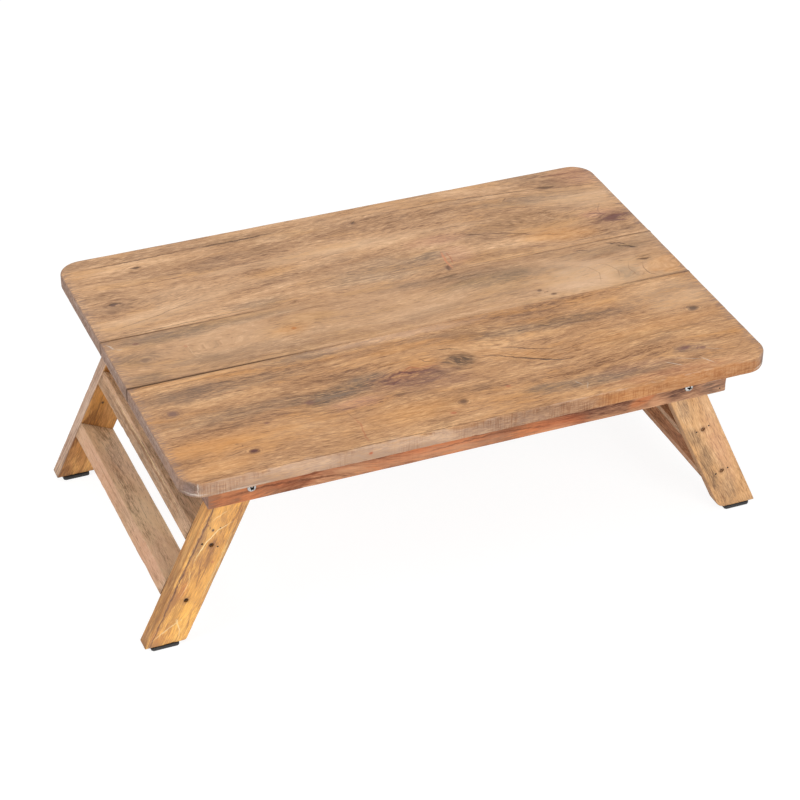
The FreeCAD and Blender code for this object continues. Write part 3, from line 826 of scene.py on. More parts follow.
BACK_LINES = [
    ((-284, 187), (-220, 186), (-150, 189), 1.7, DARK_GRAIN, 0.85),
    ((-165, 188), (-110, 187), (-64, 189), 2.0, CRACK, 0.8),
    ((0, 176), (60, 184), (120, 185), (180, 179), (235, 173), (300, 161), 1.2, DARK_GRAIN, 0.7),
    ((40, 172), (100, 178), (160, 174), (220, 164), (290, 150), 0.9, DARK_GRAIN, 0.5),
    ((222, 177), (234, 174), (248, 170), 2.6, DARK_GRAIN, 0.9),
    ((236, 170), (262, 166), (300, 160), 1.4, DARK_GRAIN, 0.7),
    ((112, 113), (124, 109), (136, 106), 1.7, DARK_GRAIN, 0.85),
    ((136, 106), (150, 102), (164, 98), 1.3, DARK_GRAIN, 0.7),
    ((148, 100), (166, 95), (186, 86), 1.8, DARK_GRAIN, 0.8),
    ((186, 86), (200, 80), (215, 75), 1.1, DARK_GRAIN, 0.5), ((258, 89), (274, 92), (302, 92), 2.6, PURPLE, 0.9),
    ((250, 105), (262, 104), (273, 98), 1.6, PURPLE, 0.85), ((270, 88), (278, 82), (290, 79), 2.0, PURPLE, 0.8),
    ((266, 96), (268, 110), (276, 122), 0.9, PURPLE, 0.5),
    ((76, 52), (75, 70), (78, 92), 2.0, paint(214, 140, 100), 0.85),
    ((80, 60), (82, 74), (82, 88), 1.1, RUST, 0.55), ((71, 50), (72, 57), (75, 64), 2.0, paint(112, 78, 58), 0.7),
    ((66, 96), (76, 95), (84, 92), 1.2, DARK_GRAIN, 0.5), ((-232, 173), (-218, 172), 1.8, CRACK, 0.8),
    ((-236, 166), (-226, 163), 1.3, DARK_GRAIN, 0.75), ((-276, 111), (-266, 114), (-256, 112), 2.0, CRACK, 0.75),
    ((12, 174), (18, 181), 1.3, CRACK, 0.7), ((180, 162), (188, 168), 1.3, DARK_GRAIN, 0.75),
    ((-300, 53), (-210, 54), (-120, 56), 1.3, DARK_GRAIN, 0.6),
    ((78, 53), (140, 53), (200, 54), 1.2, DARK_GRAIN, 0.5), ((200, 58), (250, 60), (300, 66), 1.1, DARK_GRAIN, 0.6),
    ((-150, 156), (-60, 152), (40, 150), 0.9, DARK_GRAIN, 0.4),
    ((-290, 64), (-230, 78), (-170, 98), 1.0, DARK_GRAIN, 0.55),
    ((-300, 80), (-260, 92), (-210, 106), 0.8, DARK_GRAIN, 0.4),
    ((60, 134), (110, 132), (160, 124), 0.9, DARK_GRAIN, 0.5),
    ((-130, 62), (-40, 68), (60, 66), 0.9, DARK_GRAIN, 0.45), ((204, 130), (212, 112), (232, 98), 1.0, TAN, 0.6),
    ((120, 150), (170, 150), (215, 138), (250, 118), 0.8, BROWN, 0.6),
    ((150, 140), (190, 136), (215, 124), 0.8, BROWN, 0.5), ((-303, 56), (-303, 110), (-303, 176), 1.1, CHALK, 0.45),
    ((-310, 60), (-309, 120), (-311, 176), 1.4, CRACK, 0.4),
    ((-260, 130), (-200, 128), (-120, 134), 0.8, BROWN, 0.5), ((-60, 112), (20, 110), (90, 116), 0.8, BROWN, 0.5),
]
BACK_PATCHES = [
    (-200, 194, 110, 7, 0, 0.6, BROWN, 0.6), (-40, 168, 90, 14, 0, 0.7, BROWN, 0.6),
    (-10, 98, 110, 9, 2, 0.7, BROWN, 0.4), (-200, 158, 60, 12, 0, 0.7, BROWN, 0.5),
    (-30, 133, 110, 8, 0, 0.7, TAN, 0.65), (-220, 82, 90, 12, 14, 0.7, TAN, 0.6),
    (190, 118, 44, 18, -8, 0.6, paint(158, 118, 82), 0.7), (208, 76, 36, 13, -10, 0.6, ORANGE, 0.65),
    (262, 140, 50, 22, -6, 0.7, TAN, 0.65), (280, 185, 30, 22, 0, 0.7, PINK, 0.5),
    (276, 91, 30, 13, 6, 0.5, PURPLE, 0.4), (66, 86, 17, 9, 0, 0.25, GREY_BROWN, 0.7),
    (10, 74, 60, 20, 0, 0.6, SMOKE, 0.55), (-130, 62, 30, 9, 0, 0.6, GREY_BROWN, 0.6),
    (-240, 110, 60, 10, 4, 0.7, TAN, 0.45), (110, 160, 90, 8, 0, 0.7, BROWN, 0.5),
    (206, 154, 50, 10, -6, 0.6, SMOKE, 0.5), (80, 112, 30, 9, 0, 0.6, PINK, 0.4),
    (-262, 118, 30, 16, 0, 0.7, BROWN, 0.5), (140, 64, 60, 7, 0, 0.7, BROWN, 0.5),
    (240, 182, 34, 12, -10, 0.7, BROWN, 0.5), (262, 104, 16, 8, 0, 0.5, PINK, 0.5),
    (90, 76, 16, 18, 0, 0.5, PINK, 0.35), (-100, 190, 60, 6, 0, 0.6, paint(120, 88, 64), 0.5),
]
BACK_KNOTS = [
    (275, 90, 17, 9, 10, paint(116, 76, 66), 0.9), (-225, 172, 5, 3, 0, DARK_GRAIN, 0.75),
    (-267, 112, 6.5, 3, 6, paint(90, 60, 54), 0.75), (15, 178, 4, 4, 0, DARK_GRAIN, 0.6),
    (72, 57, 4, 6.5, 0, paint(128, 92, 70), 0.85), (236, 173, 11, 5, -10, DARK_GRAIN, 0.8),
]

PLANKS = {
    "front_top_plank": dict(
        seed=3, pith=(60.0, 120.0), gap=7.5, lean=(0.02, 0.0),
        swells=[(-40, -140, 90, 22, 9), (60, -100, 70, 26, -9), (-230, -120, 90, 30, 5), (220, -150, 90, 30, 8)],
        eyes=[(-28, -112, 17, 2.2, 2.6), (14, -105, 9, 1.3, 0.4), (-273, -92, 7, 1.6, 1.4), (-222, -176, 5, 1.8, 1.2),
              (-13, -172, 4, 1.6, 1.0), (228, -165, 6, 2.2, 1.2), (268, -103, 6, 1.8, 1.2)]),
    "middle_top_plank": dict(
        seed=5, pith=(8.0, 196.0), gap=6.0, lean=(0.0, 0.06),
        swells=[(100, 20, 70, 16, 5), (-20, 0, 80, 20, -4)],
        eyes=[(-195, 8, 17, 3.6, 3.4), (-268, 4, 6, 1.6, 1.2), (292, -18, 20, 1.6, 3.0), (226, -16, 14, 1.5, 1.6)]),
    "back_top_plank": dict(
        seed=8, pith=(330.0, 110.0), gap=6.5, lean=(0.0, 0.0),
        swells=[(60, 182, 150, 30, 8), (300, 160, 110, 40, -16), (-250, 90, 110, 26, -12), (40, 120, 130, 18, 4)],
        eyes=[(195, 118, 17, 2.6, 2.8), (276, 91, 11, 1.5, 2.2), (-225, 172, 5, 2.0, 1.2), (-267, 112, 6, 2.0, 1.4)]),
}
PLANK_MARKS = {
    "front_top_plank": (FRONT_LINES, FRONT_PATCHES, FRONT_KNOTS),
    "middle_top_plank": (MIDDLE_LINES, MIDDLE_PATCHES, MIDDLE_KNOTS),
    "back_top_plank": (BACK_LINES, BACK_PATCHES, BACK_KNOTS),
}
TOP_END = paint(154, 133, 126)


def plank_materials():
    """One waxed and worn wood for each plank of the top."""
    end_rub = (paint(196, 166, 144), 1.5, 0.5)
    return {
        "front_top_plank": wood(
            "front_plank_wood", paint(232, 184, 134), paint(190, 142, 99), paint(118, 78, 50), paint(206, 146, 84),
            paint(134, 102, 76), TOP_END, (0.15, 1.3, 0.85, 0.5, 0.4, 0.5), end_rub,
            (paint(170, 129, 95), 0.9, 0.6), soak=1.0),
        "middle_top_plank": wood(
            "middle_plank_wood", paint(228, 185, 144), paint(193, 149, 110), paint(134, 98, 68), paint(208, 158, 100),
            paint(150, 120, 92), TOP_END, (0.2, 0.9, 0.66, 0.3, 0.3, 0.45), end_rub,
            (paint(166, 131, 103), 0.9, 0.5), soak=1.0),
        "back_top_plank": wood(
            "back_plank_wood", paint(240, 196, 152), paint(200, 155, 115), paint(126, 88, 60), paint(212, 158, 100),
            paint(142, 110, 84), TOP_END, (0.15, 1.2, 0.78, 0.4, 0.35, 0.5), end_rub,
            (paint(167, 128, 95), 0.9, 0.5), soak=1.0),
    }


# How open each seam is along the table, from 0 where it is closed
SEAMS = {
    FRONT_SEAM: [(-300, 1.0), (-170, 0.9), (-120, 0.55), (-80, 0.3), (-30, 0.12), (20, 0.0), (195, 0.0),
                 (240, 0.5), (300, 0.7)],
    BACK_SEAM: [(-300, 0.85), (-200, 0.7), (-130, 0.45), (-80, 0.0), (70, 0.0), (95, 0.35), (180, 0.4),
                (300, 0.65)],
}
# SEAM_SHADE is how far the painted shade of an open seam reaches to either side
SEAM_BLEND, SEAM_SHADE, SEAM_FLUSH = 2.4, 2.2, 0.98
# The planks stand apart at the left end of the front seam
SEAM_GAP, SEAM_GAP_END, SEAM_GAP_LENGTH, SEAM_CRACK = 0.8, -100.0, 200.0, 0.02


def planks():
    """The three planks of the top, each with its own figure, worn most along the table's edges."""
    woods = plank_materials()
    for node, facts in PLANKS.items():
        low, high = box_mm(node)
        front = TOP_CORNER if low[1] < FRONT_SEAM - 1 else SEAM_CORNER
        back = TOP_CORNER if high[1] > BACK_SEAM + 1 else SEAM_CORNER
        corners = [(low[0], low[1], front), (high[0], low[1], front), (high[0], high[1], back),
                   (low[0], high[1], back)]
        board = slab(corners, high[2] - low[2], PLANK_STEP, UPPER_ROUND, LOWER_ROUND, shift=(0, 0, low[2]))
        along, across = board.points[:, 0].copy(), board.points[:, 1].copy()
        board.spot[:, :2] += board.out * ((high[2] - board.points[:, 2]) * (np.abs(board.lift) < 0.5))[:, None]
        wood_of = figure(board.points, facts["seed"], facts["pith"], facts["gap"], facts["lean"], facts["swells"],
                         facts["eyes"])
        painted_shade = np.zeros(len(along))
        for seam, shares_of in SEAMS.items():
            if seam not in (low[1], high[1]):
                continue
            openness = np.interp(along, *zip(*shares_of))
            off = np.abs(across - seam)
            inner = np.clip(1 - off / SEAM_BLEND, 0, 1)
            dropped = np.where(board.depth > 0, SEAM_ROUND / UPPER_ROUND, SEAM_FLUSH) * openness
            kept = inner * rounded_off(board.depth, UPPER_ROUND) * (SEAM_FLUSH - dropped)
            board.points[:, 2] += np.where(board.lift > 0, kept, 0)
            board.lift = np.where((board.lift > 0) & (inner > 0), np.maximum(board.lift, 1 - openness), board.lift)
            board.arris = board.arris + inner * 3
            # Painted shade along the open stretches of each seam
            painted_shade = np.maximum(painted_shade, np.clip(1 - off / SEAM_SHADE, 0, 1) * openness)
        wear_down(board, PLANK_WEAR, 0.5, 1.6, 0.16)
        gap = SEAM_GAP * np.clip((SEAM_GAP_END - along) / SEAM_GAP_LENGTH, 0, 1) ** 0.7 + SEAM_CRACK
        near = np.clip(1 - np.abs(across - FRONT_SEAM) / 3, 0, 1) * (FRONT_SEAM in (low[1], high[1]))
        board.points[:, 1] += (1 if low[1] == FRONT_SEAM else -1) * gap * near
        board_piece(node, board, Matrix.Identity(4), woods[node], "top",
                    wood_of, PLANK_MARKS[node], painted_shade)


def rect(low, high, radius):
    """The corners of a board's plan from two opposite points."""
    return [(low[0], low[1], radius), (high[0], low[1], radius), (high[0], high[1], radius),
            (low[0], high[1], radius)]


# Marks on the side rails, read in the frame's x and z
RAIL_LINES = [
    ((-268, 196), (-220, 190), (-150, 196), 1.6, RAIL_DARK, 0.7),
    ((-268, 176), (-210, 180), (-120, 172), 1.8, RAIL_DARK, 0.7),
    ((-150, 190), (-100, 182), (-40, 186), 1.5, RAIL_DARK, 0.6),
    ((-60, 176), (20, 180), (90, 174), 1.5, RAIL_DARK, 0.6),
    ((90, 196), (150, 188), (200, 194), 2.0, RAIL_DARK, 0.8),
    ((100, 180), (140, 184), (190, 176), 2.0, RAIL_DARK, 0.7), ((-250, 186), (-236, 188), 1.4, CRACK, 0.7),
    ((200, 186), (236, 182), (266, 186), 1.0, RAIL_DARK, 0.5),
]
RAIL_PATCHES = [
    (-236, 186, 36, 10, 4, 0.5, paint(204, 138, 94), 0.7), (-180, 178, 30, 8, -4, 0.5, paint(178, 106, 70), 0.7),
    (-120, 186, 46, 7, 3, 0.6, paint(120, 62, 42), 0.6), (-60, 180, 40, 10, 0, 0.6, paint(188, 108, 68), 0.5),
    (20, 184, 50, 8, 2, 0.6, paint(130, 84, 60), 0.6), (-20, 174, 60, 6, 2, 0.6, paint(206, 152, 116), 0.6),
    (136, 186, 46, 18, -2, 0.5, paint(98, 60, 47), 0.92), (176, 191, 30, 5, 0, 0.5, paint(104, 66, 52), 0.7),
    (178, 181, 15, 6, 24, 0.4, paint(200, 124, 78), 0.8), (217, 186, 22, 18, 0, 0.5, paint(92, 62, 50), 0.95),
    (84, 176, 26, 8, 0, 0.6, paint(176, 96, 60), 0.5), (256, 186, 18, 18, 0, 0.5, paint(130, 100, 82), 0.92),
    (-266, 184, 8, 20, 0, 0.5, paint(122, 84, 62), 0.6),
]


def shade_below_planks(levels, top):
    """Painted shade under the planks, darkest at the top of the board."""
    return 0.35 * np.clip((levels - top + SHADE_DEPTH) / SHADE_DEPTH, 0, 1)


def rails():
    """The side rails along the top's edges and the end rails between them, with bores for the top's screws."""
    rail_wood = wood(
        "rail_wood", paint(220, 174, 134), paint(188, 138, 102), paint(108, 66, 46), paint(204, 124, 76),
        paint(110, 74, 58), paint(166, 136, 124), (0.5, 2.0, 0.55, 0.85, 0.6, 0.4), (paint(150, 100, 74), 1.6, 0.45),
        (paint(185, 129, 92), 0.3, 0.1), rough=(0.34, 0.52))
    for seed, face in enumerate(FACES, 20):
        node = f"{face}_side_rail"
        low, high = box_mm(node)
        middle = (low[1] + high[1]) / 2
        holes = [(x, middle, BORE) for x in SIDE_RAIL_SCREWS_X]
        board = slab(rect(low, high, 1.2), high[2] - low[2], BOARD_STEP, 0.3, 1.5, holes, (0, 0, low[2]))
        board.spot = board.points[:, [0, 2, 1]]
        wood_of = figure(board.spot, seed, (middle + 340, -40), 7.0, (0.05, 0.03), [(-160, 180, 60, 20, 10),
                         (120, 186, 70, 20, -12)], coarse=1.5)
        # Painted shade under the planks
        painted_shade = shade_below_planks(board.points[:, 2], high[2])
        wear_down(board, seed, 0.4, 1.2, 0.18)
        board_piece(node, board, Matrix.Identity(4), rail_wood, "top", wood_of,
                    (RAIL_LINES, RAIL_PATCHES, ()), painted_shade)
    for seed, side in enumerate(SIDES, 30):
        node = f"{side}_end_rail"
        low, high = box_mm(node)
        middle = (low[0] + high[0]) / 2
        matrix = stand((middle, 0, low[2]), (0, 1, 0), (-1, 0, 0))
        half = (high[0] - low[0]) / 2
        holes = [(y, 0, BORE) for y in END_RAIL_SCREWS_Y]
        board = slab(rect((low[1], -half), (high[1], half), 0.5), high[2] - low[2], BOARD_STEP, 0.3, 0.8, holes)
        wood_of = figure(board.points, seed, (40.0, -60.0), 6.0, (0.0, 0.02), coarse=1.4)
        # Painted shade under the planks
        painted_shade = shade_below_planks(board.points[:, 2], high[2] - low[2])
        wear_down(board, seed, 0.3, 0.9, 0.15)
        board_piece(node, board, matrix, rail_wood, "top", wood_of, painted_shade=painted_shade)


def leg_ways(side):
    """The directions down and outwards across an open leg."""
    return (side * math.sin(SPLAY), 0, -math.cos(SPLAY)), (side * math.cos(SPLAY), 0, math.sin(SPLAY))


def on_frame(side, along, across, y):
    """A point of an open leg frame, from its pivot down the leg and outwards across it."""
    down, over = leg_ways(side)
    return np.array((side * PIVOT_X, y, PIVOT_Z)) + along * np.array(down) + across * np.array(over)


def foot_reach(across):
    return (PIVOT_Z - PAD_HEIGHT + across * math.sin(SPLAY)) / math.cos(SPLAY)


def leg_corners(foot_round):
    """A leg's plan: round about the pivot, and cut level at the foot."""
    return [(-HALF_LEG, -HALF_LEG, HALF_LEG - 0.01), (foot_reach(-HALF_LEG), -HALF_LEG, foot_round),
            (foot_reach(HALF_LEG), HALF_LEG, 0.8), (-HALF_LEG, HALF_LEG, HALF_LEG - 0.01)]


# Marks on the legs, read down from the pivot and across, and on over their narrow sides
GOLD_LINES = [
    ((8, 21), (60, 22), (110, 20.5), (190, 21.5), 1.3, paint(150, 102, 58), 0.5),
    ((20, 33), (80, 32), (180, 33.5), 1.6, paint(150, 100, 58), 0.7),
    ((30, 27), (64, 28), (96, 26.5), 0.9, paint(132, 84, 44), 0.6),
    ((92, 29), (140, 28), (184, 29), 1.0, paint(150, 98, 56), 0.6),
    ((-30, 16), (20, 15.4), (60, 14), (110, 15.2), (170, 15), (240, 14.6), 1.5, paint(100, 58, 32), 1.0),
    # The CREAM lines are painted highlights: glints of the gold leg's uneven lacquer
    ((50, -12), (52, -9.6), (63, 0.3), (79, 6.4), (90, 8.4), (105, 10), 0.9, CREAM, 0.9),
    ((40, -1), (44, 2.6), (50, 7), (56, 10.2), 0.7, CREAM, 0.6),
    ((197, 17), (182, 7.4), (169.5, -1.4), (177.5, -7), (191, -11), 1.0, CREAM, 0.65),
    ((20, -8), (26, 0), (30, 8), 0.7, CREAM, 0.5), ((60, -15), (100, -15.5), (150, -14.5), 0.8, CREAM, 0.4),
    ((110, 10), (124, 5), (146, 8), 0.7, CREAM, 0.4), ((92, 4), (110, 0), (130, -4), 1.3, paint(132, 84, 44), 0.6),
    ((150, -10), (170, -13), (186, -14), 0.9, paint(132, 84, 44), 0.5),
    ((30, -14), (60, -16), (90, -17), 1.2, paint(150, 100, 54), 0.6),
    ((62, 12), (78, 12), (96, 13), 1.6, paint(140, 96, 56), 0.6),
]
GOLD_PATCHES = [
    (74, 13, 30, 5, 0, 0.5, paint(166, 122, 76), 0.75), (104, 3, 22, 8, 10, 0.6, paint(172, 118, 66), 0.7),
    (130, 10, 24, 6, -8, 0.6, paint(180, 124, 70), 0.6), (36, 0, 16, 9, 0, 0.6, paint(240, 178, 92), 0.6),
    (166, -4, 28, 11, 0, 0.6, paint(240, 178, 84), 0.4), (120, -10, 30, 7, 0, 0.6, paint(238, 176, 90), 0.6),
    (134, 8, 9, 5, 0, 0.5, paint(206, 126, 62), 0.6), (50, -12, 26, 6, 0, 0.6, paint(196, 138, 74), 0.5),
    (80, 0, 5, 4, 0, 0.5, paint(150, 100, 54), 0.5), (144, 0, 5, 4, 0, 0.5, paint(150, 100, 54), 0.5),
    # The thin amber patches along the narrow side, across 25 to 29, are painted glints of the lacquer
    (40, 25, 9, 3, 0, 0.6, paint(236, 170, 92), 0.8), (62, 25, 12, 4, 0, 0.6, paint(244, 184, 108), 0.8),
    (84, 29, 8, 3, 0, 0.6, paint(232, 168, 96), 0.7), (110, 25, 10, 3, 0, 0.6, paint(236, 176, 104), 0.7),
    (150, 26, 16, 3, 0, 0.6, paint(224, 160, 92), 0.6), (24, 28, 14, 7, 0, 0.6, paint(150, 100, 58), 0.6),
    (165, 27, 60, 12, 0, 0.5, paint(164, 116, 76), 0.65), (60, -17.5, 64, 3, 0, 0.5, paint(158, 118, 74), 0.75),
    (150, 14, 30, 4, 0, 0.6, paint(186, 128, 70), 0.6), (190, 6, 14, 12, 0, 0.6, paint(218, 148, 72), 0.5),
    (56, 2, 14, 7, 0, 0.6, paint(236, 178, 100), 0.5),
]
GOLD_KNOTS = [
    (64, 5, 2.4, 2.0, 0, CRACK, 1.0), (60, 12, 1.8, 1.6, 0, paint(130, 84, 48), 0.9),
    (98, -9, 2, 1.6, 0, RUST, 0.6),
]
AMBER_PATCHES = [
    (40, 0, 30, 14, 0, 0.7, paint(196, 134, 72), 0.5), (84, -6, 24, 10, 0, 0.6, paint(150, 98, 56), 0.6),
    (104, 8, 18, 8, 0, 0.6, paint(240, 170, 84), 0.7), (150, 0, 30, 12, 0, 0.7, paint(186, 126, 72), 0.5),
]
AMBER_LINES = [
    ((10, -8), (60, -4), (120, -8), 1.0, DARK_GRAIN, 0.6), ((60, 6), (100, 8), (150, 4), 1.0, DARK_GRAIN, 0.5),
]
AMBER_KNOTS = [
    (71, 6, 3, 2.4, 0, CRACK, 0.9), (108, 5, 2.4, 2.2, 0, CRACK, 0.9),
]
PALE_LINES = [
    ((20, -13), (100, -15), (190, -14), 0.8, DARK_GRAIN, 0.4), ((60, 8), (110, 10), (150, 9), 0.8, DARK_GRAIN, 0.3),
]
PALE_PATCHES = [
    (44, -9, 16, 6, 0, 0.7, GREY_BROWN, 0.55), (85, -12, 17, 6, 8, 0.5, paint(126, 98, 72), 0.7),
    (116, -9, 15, 7, -5, 0.5, paint(126, 98, 72), 0.7), (147, -11, 13, 5, 0, 0.6, paint(120, 94, 70), 0.7),
    (172, -4, 16, 8, 0, 0.7, GREY_BROWN, 0.45), (110, 8, 40, 8, 0, 0.7, PINK, 0.4),
    (30, 12, 40, 6, 0, 0.7, TAN, 0.45), (80, 0, 5, 4, 0, 0.5, BROWN, 0.6), (144, 0, 5, 4, 0, 0.5, BROWN, 0.6),
]
LEG_MARKS = {
    ("left", "front"): (GOLD_LINES, GOLD_PATCHES, GOLD_KNOTS),
    ("left", "back"): (AMBER_LINES, AMBER_PATCHES, AMBER_KNOTS),
    ("right", "front"): (PALE_LINES, PALE_PATCHES, ()),
    ("right", "back"): (PALE_LINES, PALE_PATCHES, ()),
}


def leg_materials():
    gold = (paint(250, 194, 100), paint(214, 152, 74), paint(140, 88, 44), paint(250, 184, 80),
            paint(160, 106, 52), paint(170, 124, 76), (0.15, 1.6, 0.85, 0.8, 0.8, 0.25))
    amber = (paint(250, 196, 120), paint(206, 148, 88), paint(126, 80, 46), paint(240, 168, 82),
             paint(150, 104, 60), paint(150, 120, 94), (0.3, 1.5, 0.6, 0.7, 0.6, 0.4))
    pale = (paint(232, 190, 142), paint(208, 160, 110), paint(148, 104, 66), paint(222, 164, 100),
            paint(150, 118, 86), paint(164, 128, 92), (0.14, 0.8, 0.85, 0.35, 0.45, 0.5))
    worn = (paint(200, 160, 112), 1.4, 0.4)
    return {
        ("left", "front"): wood("gold_leg_wood", *gold, edge=(paint(170, 116, 62), 1.6, 0.5),
                                side=(paint(196, 142, 86), 1.0, 0.1), rough=(0.22, 0.42), bump=0.5, coat=0.45),
        ("left", "back"): wood("amber_leg_wood", *amber, edge=(paint(112, 86, 64), 1.3, 0.55),
                               side=(paint(205, 174, 152), 1.0, 0.4), rough=(0.4, 0.6)),
        ("right", "front"): wood("pale_leg_wood", *pale, edge=worn,
                                 side=(paint(199, 160, 127), 0.7, 0.3)),
        ("right", "back"): wood("tan_leg_wood", *pale, edge=worn,
                                side=(paint(195, 154, 119), 0.7, 0.3)),
    }


def legs():
    """The four legs, round at the pivot, bored for their screws and cut level at the foot."""
    woods = leg_materials()
    thickness = LEG_OUTER - LEG_INNER
    screw_bore = RUNG_SCREW_HEAD[0] + RUNG_SCREW_PLAY
    holes = [(0.0, 0.0, PIVOT_BORE)] + [(drop, 0.0, screw_bore) for drop in RUNG_DROPS.values()]
    for seed, (side_name, face_name) in enumerate(itertools.product(SIDES, FACES), 40):
        side, face = SIDES[side_name], FACES[face_name]
        down, over = leg_ways(side)
        near, far = sorted((face * LEG_INNER, face * LEG_OUTER))
        start = far if side > 0 else near
        node = f"{side_name}_{face_name}_leg"
        board = slab(leg_corners(FOOT_ROUNDS[side_name]), thickness, BOARD_STEP, 1.0, 1.0, holes)
        wood_of = figure(board.points, seed, (10.0 + 9 * side, -34.0), 4.6, (0.05, 0.06))
        by_screws = np.min([np.hypot(board.points[:, 0] - x, board.points[:, 1] - y) - r for x, y, r in holes], axis=0)
        foot = foot_reach(0) + board.points[:, 1] * math.tan(SPLAY) - board.points[:, 0]
        from_face = board.points[:, 2] if side == face else thickness - board.points[:, 2]
        board.spot[:, 1] += np.sign(board.points[:, 1]) * from_face * (np.abs(board.lift) < 0.5)
        # Painted shade round the bores of the sunk screws and towards the foot on its pad
        painted_shade = np.maximum(0.5 * np.clip(1 - by_screws / 0.9, 0, 1), 0.35 * np.clip(1 - foot / 7, 0, 1))
        wear_down(board, seed, 0.45, 1.5, 0.16)
        board_piece(node, board, stand(on_frame(side, 0, 0, start), down, over), woods[side_name, face_name],
                    f"{side_name}_leg_frame", wood_of, LEG_MARKS[side_name, face_name],
                    painted_shade)


# Marks on the rungs' narrow sides, read along the rung and through it
RUNG_MARKS = {
    "upper": (
        [((-141, 9.5), (0, 10.5), (141, 9), 1.8, BROWN, 0.8),
         ((-141, 12.6), (0, 13.2), (141, 12.4), 0.8, CREAM, 0.5),
         ((-120, 4), (-60, 5), (20, 4), 1.0, BROWN, 0.6), ((20, 6), (80, 5), (141, 6), 1.0, BROWN, 0.6)],
        [(0, 5, 150, 7, 0, 0.5, paint(150, 126, 104), 0.7),
         (-60, 14, 90, 4, 0, 0.5, paint(120, 92, 70), 0.6)], ()),
    "lower": (
        [((-141, 5), (-40, 6), (60, 4), 0.9, BROWN, 0.4),
         ((-60, 12), (40, 11), (141, 12), 0.9, BROWN, 0.4)],
        [(-90, 8, 40, 12, 0, 0.6, PINK, 0.5), (60, 8, 60, 12, 0, 0.6, PINK, 0.4)], ()),
}


def rungs():
    """The rough-sawn rungs between the legs."""
    worn = (paint(190, 150, 120), 1.4, 0.35)
    woods = {
        "left": wood("rung_wood", paint(248, 220, 184), paint(234, 204, 166), paint(146, 114, 84), paint(216, 172, 122),
                     paint(168, 138, 106), paint(140, 110, 84), (0.15, 1.0, 0.85, 0.3, 0.5, 0.6), worn,
                     (paint(214, 175, 143), 0.95, 0.5), rough=(0.5, 0.7), bump=0.6),
        "right": wood("dark_rung_wood", paint(222, 172, 130), paint(188, 136, 98), paint(104, 66, 44),
                      paint(190, 116, 70), paint(120, 86, 62), paint(140, 110, 84),
                      (0.25, 1.4, 1.0, 0.5, 0.6, 0.6), worn,
                      (paint(220, 178, 143), 0.95, 0.5), rough=(0.5, 0.7), bump=0.6),
    }
    for seed, (side_name, rung_name) in enumerate(itertools.product(SIDES, RUNG_DROPS), 50):
        side, drop = SIDES[side_name], RUNG_DROPS[rung_name]
        over = leg_ways(side)[1]
        node = f"{side_name}_{rung_name}_rung"
        board = slab(rect((-LEG_INNER, -HALF_LEG), (LEG_INNER, HALF_LEG), 0.3), 2 * HALF_RUNG, BOARD_STEP, 1.0, 1.0)
        board.spot = board.points[:, [0, 2, 1]]
        wood_of = figure(board.points, seed, (14.0 * side, -26.0), 4.0, (0.03, 0.05))
        ends = LEG_INNER - np.abs(board.points[:, 0])
        # Painted shade towards the rung's ends, where they meet the legs
        painted_shade = 0.45 * np.clip(1 - ends / RUNG_END_SHADE, 0, 1) ** 2
        wear_down(board, seed, 0.4, 1.3, 0.3)
        origin = on_frame(side, drop - side * HALF_RUNG, 0, 0)
        board_piece(node, board, stand(origin, (0, 1, 0), over), woods[side_name], f"{side_name}_leg_frame",
                    wood_of, RUNG_MARKS[rung_name], painted_shade)


def plain_material(name, colour, other, rough, metal=0.0, bump=0.15):
    """A material for the small pieces, mottled between two colours, with painted shade in their recesses."""
    material = bpy.data.materials.new(name)
    material.use_nodes = True
    shader = material.node_tree.nodes["Principled BSDF"]
    w = Wiring(material.node_tree)
    spot = w.read("spot", "Vector")
    mottle = w.noise(spot, (0.35, 0.35, 0.35), 4.0, 0.6, 2.0)
    fine = w.noise(spot, (1.4, 1.4, 1.4), 2.0, 0.6, 5.0)
    mottled = w.mix(w.between(mottle, 0.4, 0.65), colour, other)
    # Painted shade: near black in the cross recesses of the screw heads
    w.feed(shader.inputs["Base Color"], w.mix(w.read("recess", "Fac"), mottled, paint(24, 22, 20)))
    w.feed(shader.inputs["Roughness"], w.between(fine, 0.3, 0.7, *rough))
    shader.inputs["Metallic"].default_value = metal
    raised = w.add("ShaderNodeBump", {"Height": fine, "Strength": bump, "Distance": 0.0003})
    w.feed(shader.inputs["Normal"], raised.outputs[0])
    return material


def foot_pads():
    """Rubber blocks under the feet."""
    rubber = plain_material("pad_rubber", paint(28, 28, 30), paint(40, 40, 41), (0.6, 0.85), bump=0.3)
    for side, face in itertools.product(SIDES, FACES):
        node = f"{side}_{face}_foot_pad"
        low, high = box_mm(node)
        pad = slab(rect(low, high, 2.0), high[2] - low[2], PAD_STEP, 0.4, 1.5)
        dress(node, pad.points, pad.faces, Matrix.Identity(4), rubber, f"{side}_leg_frame",
              {"spot": pad.points})


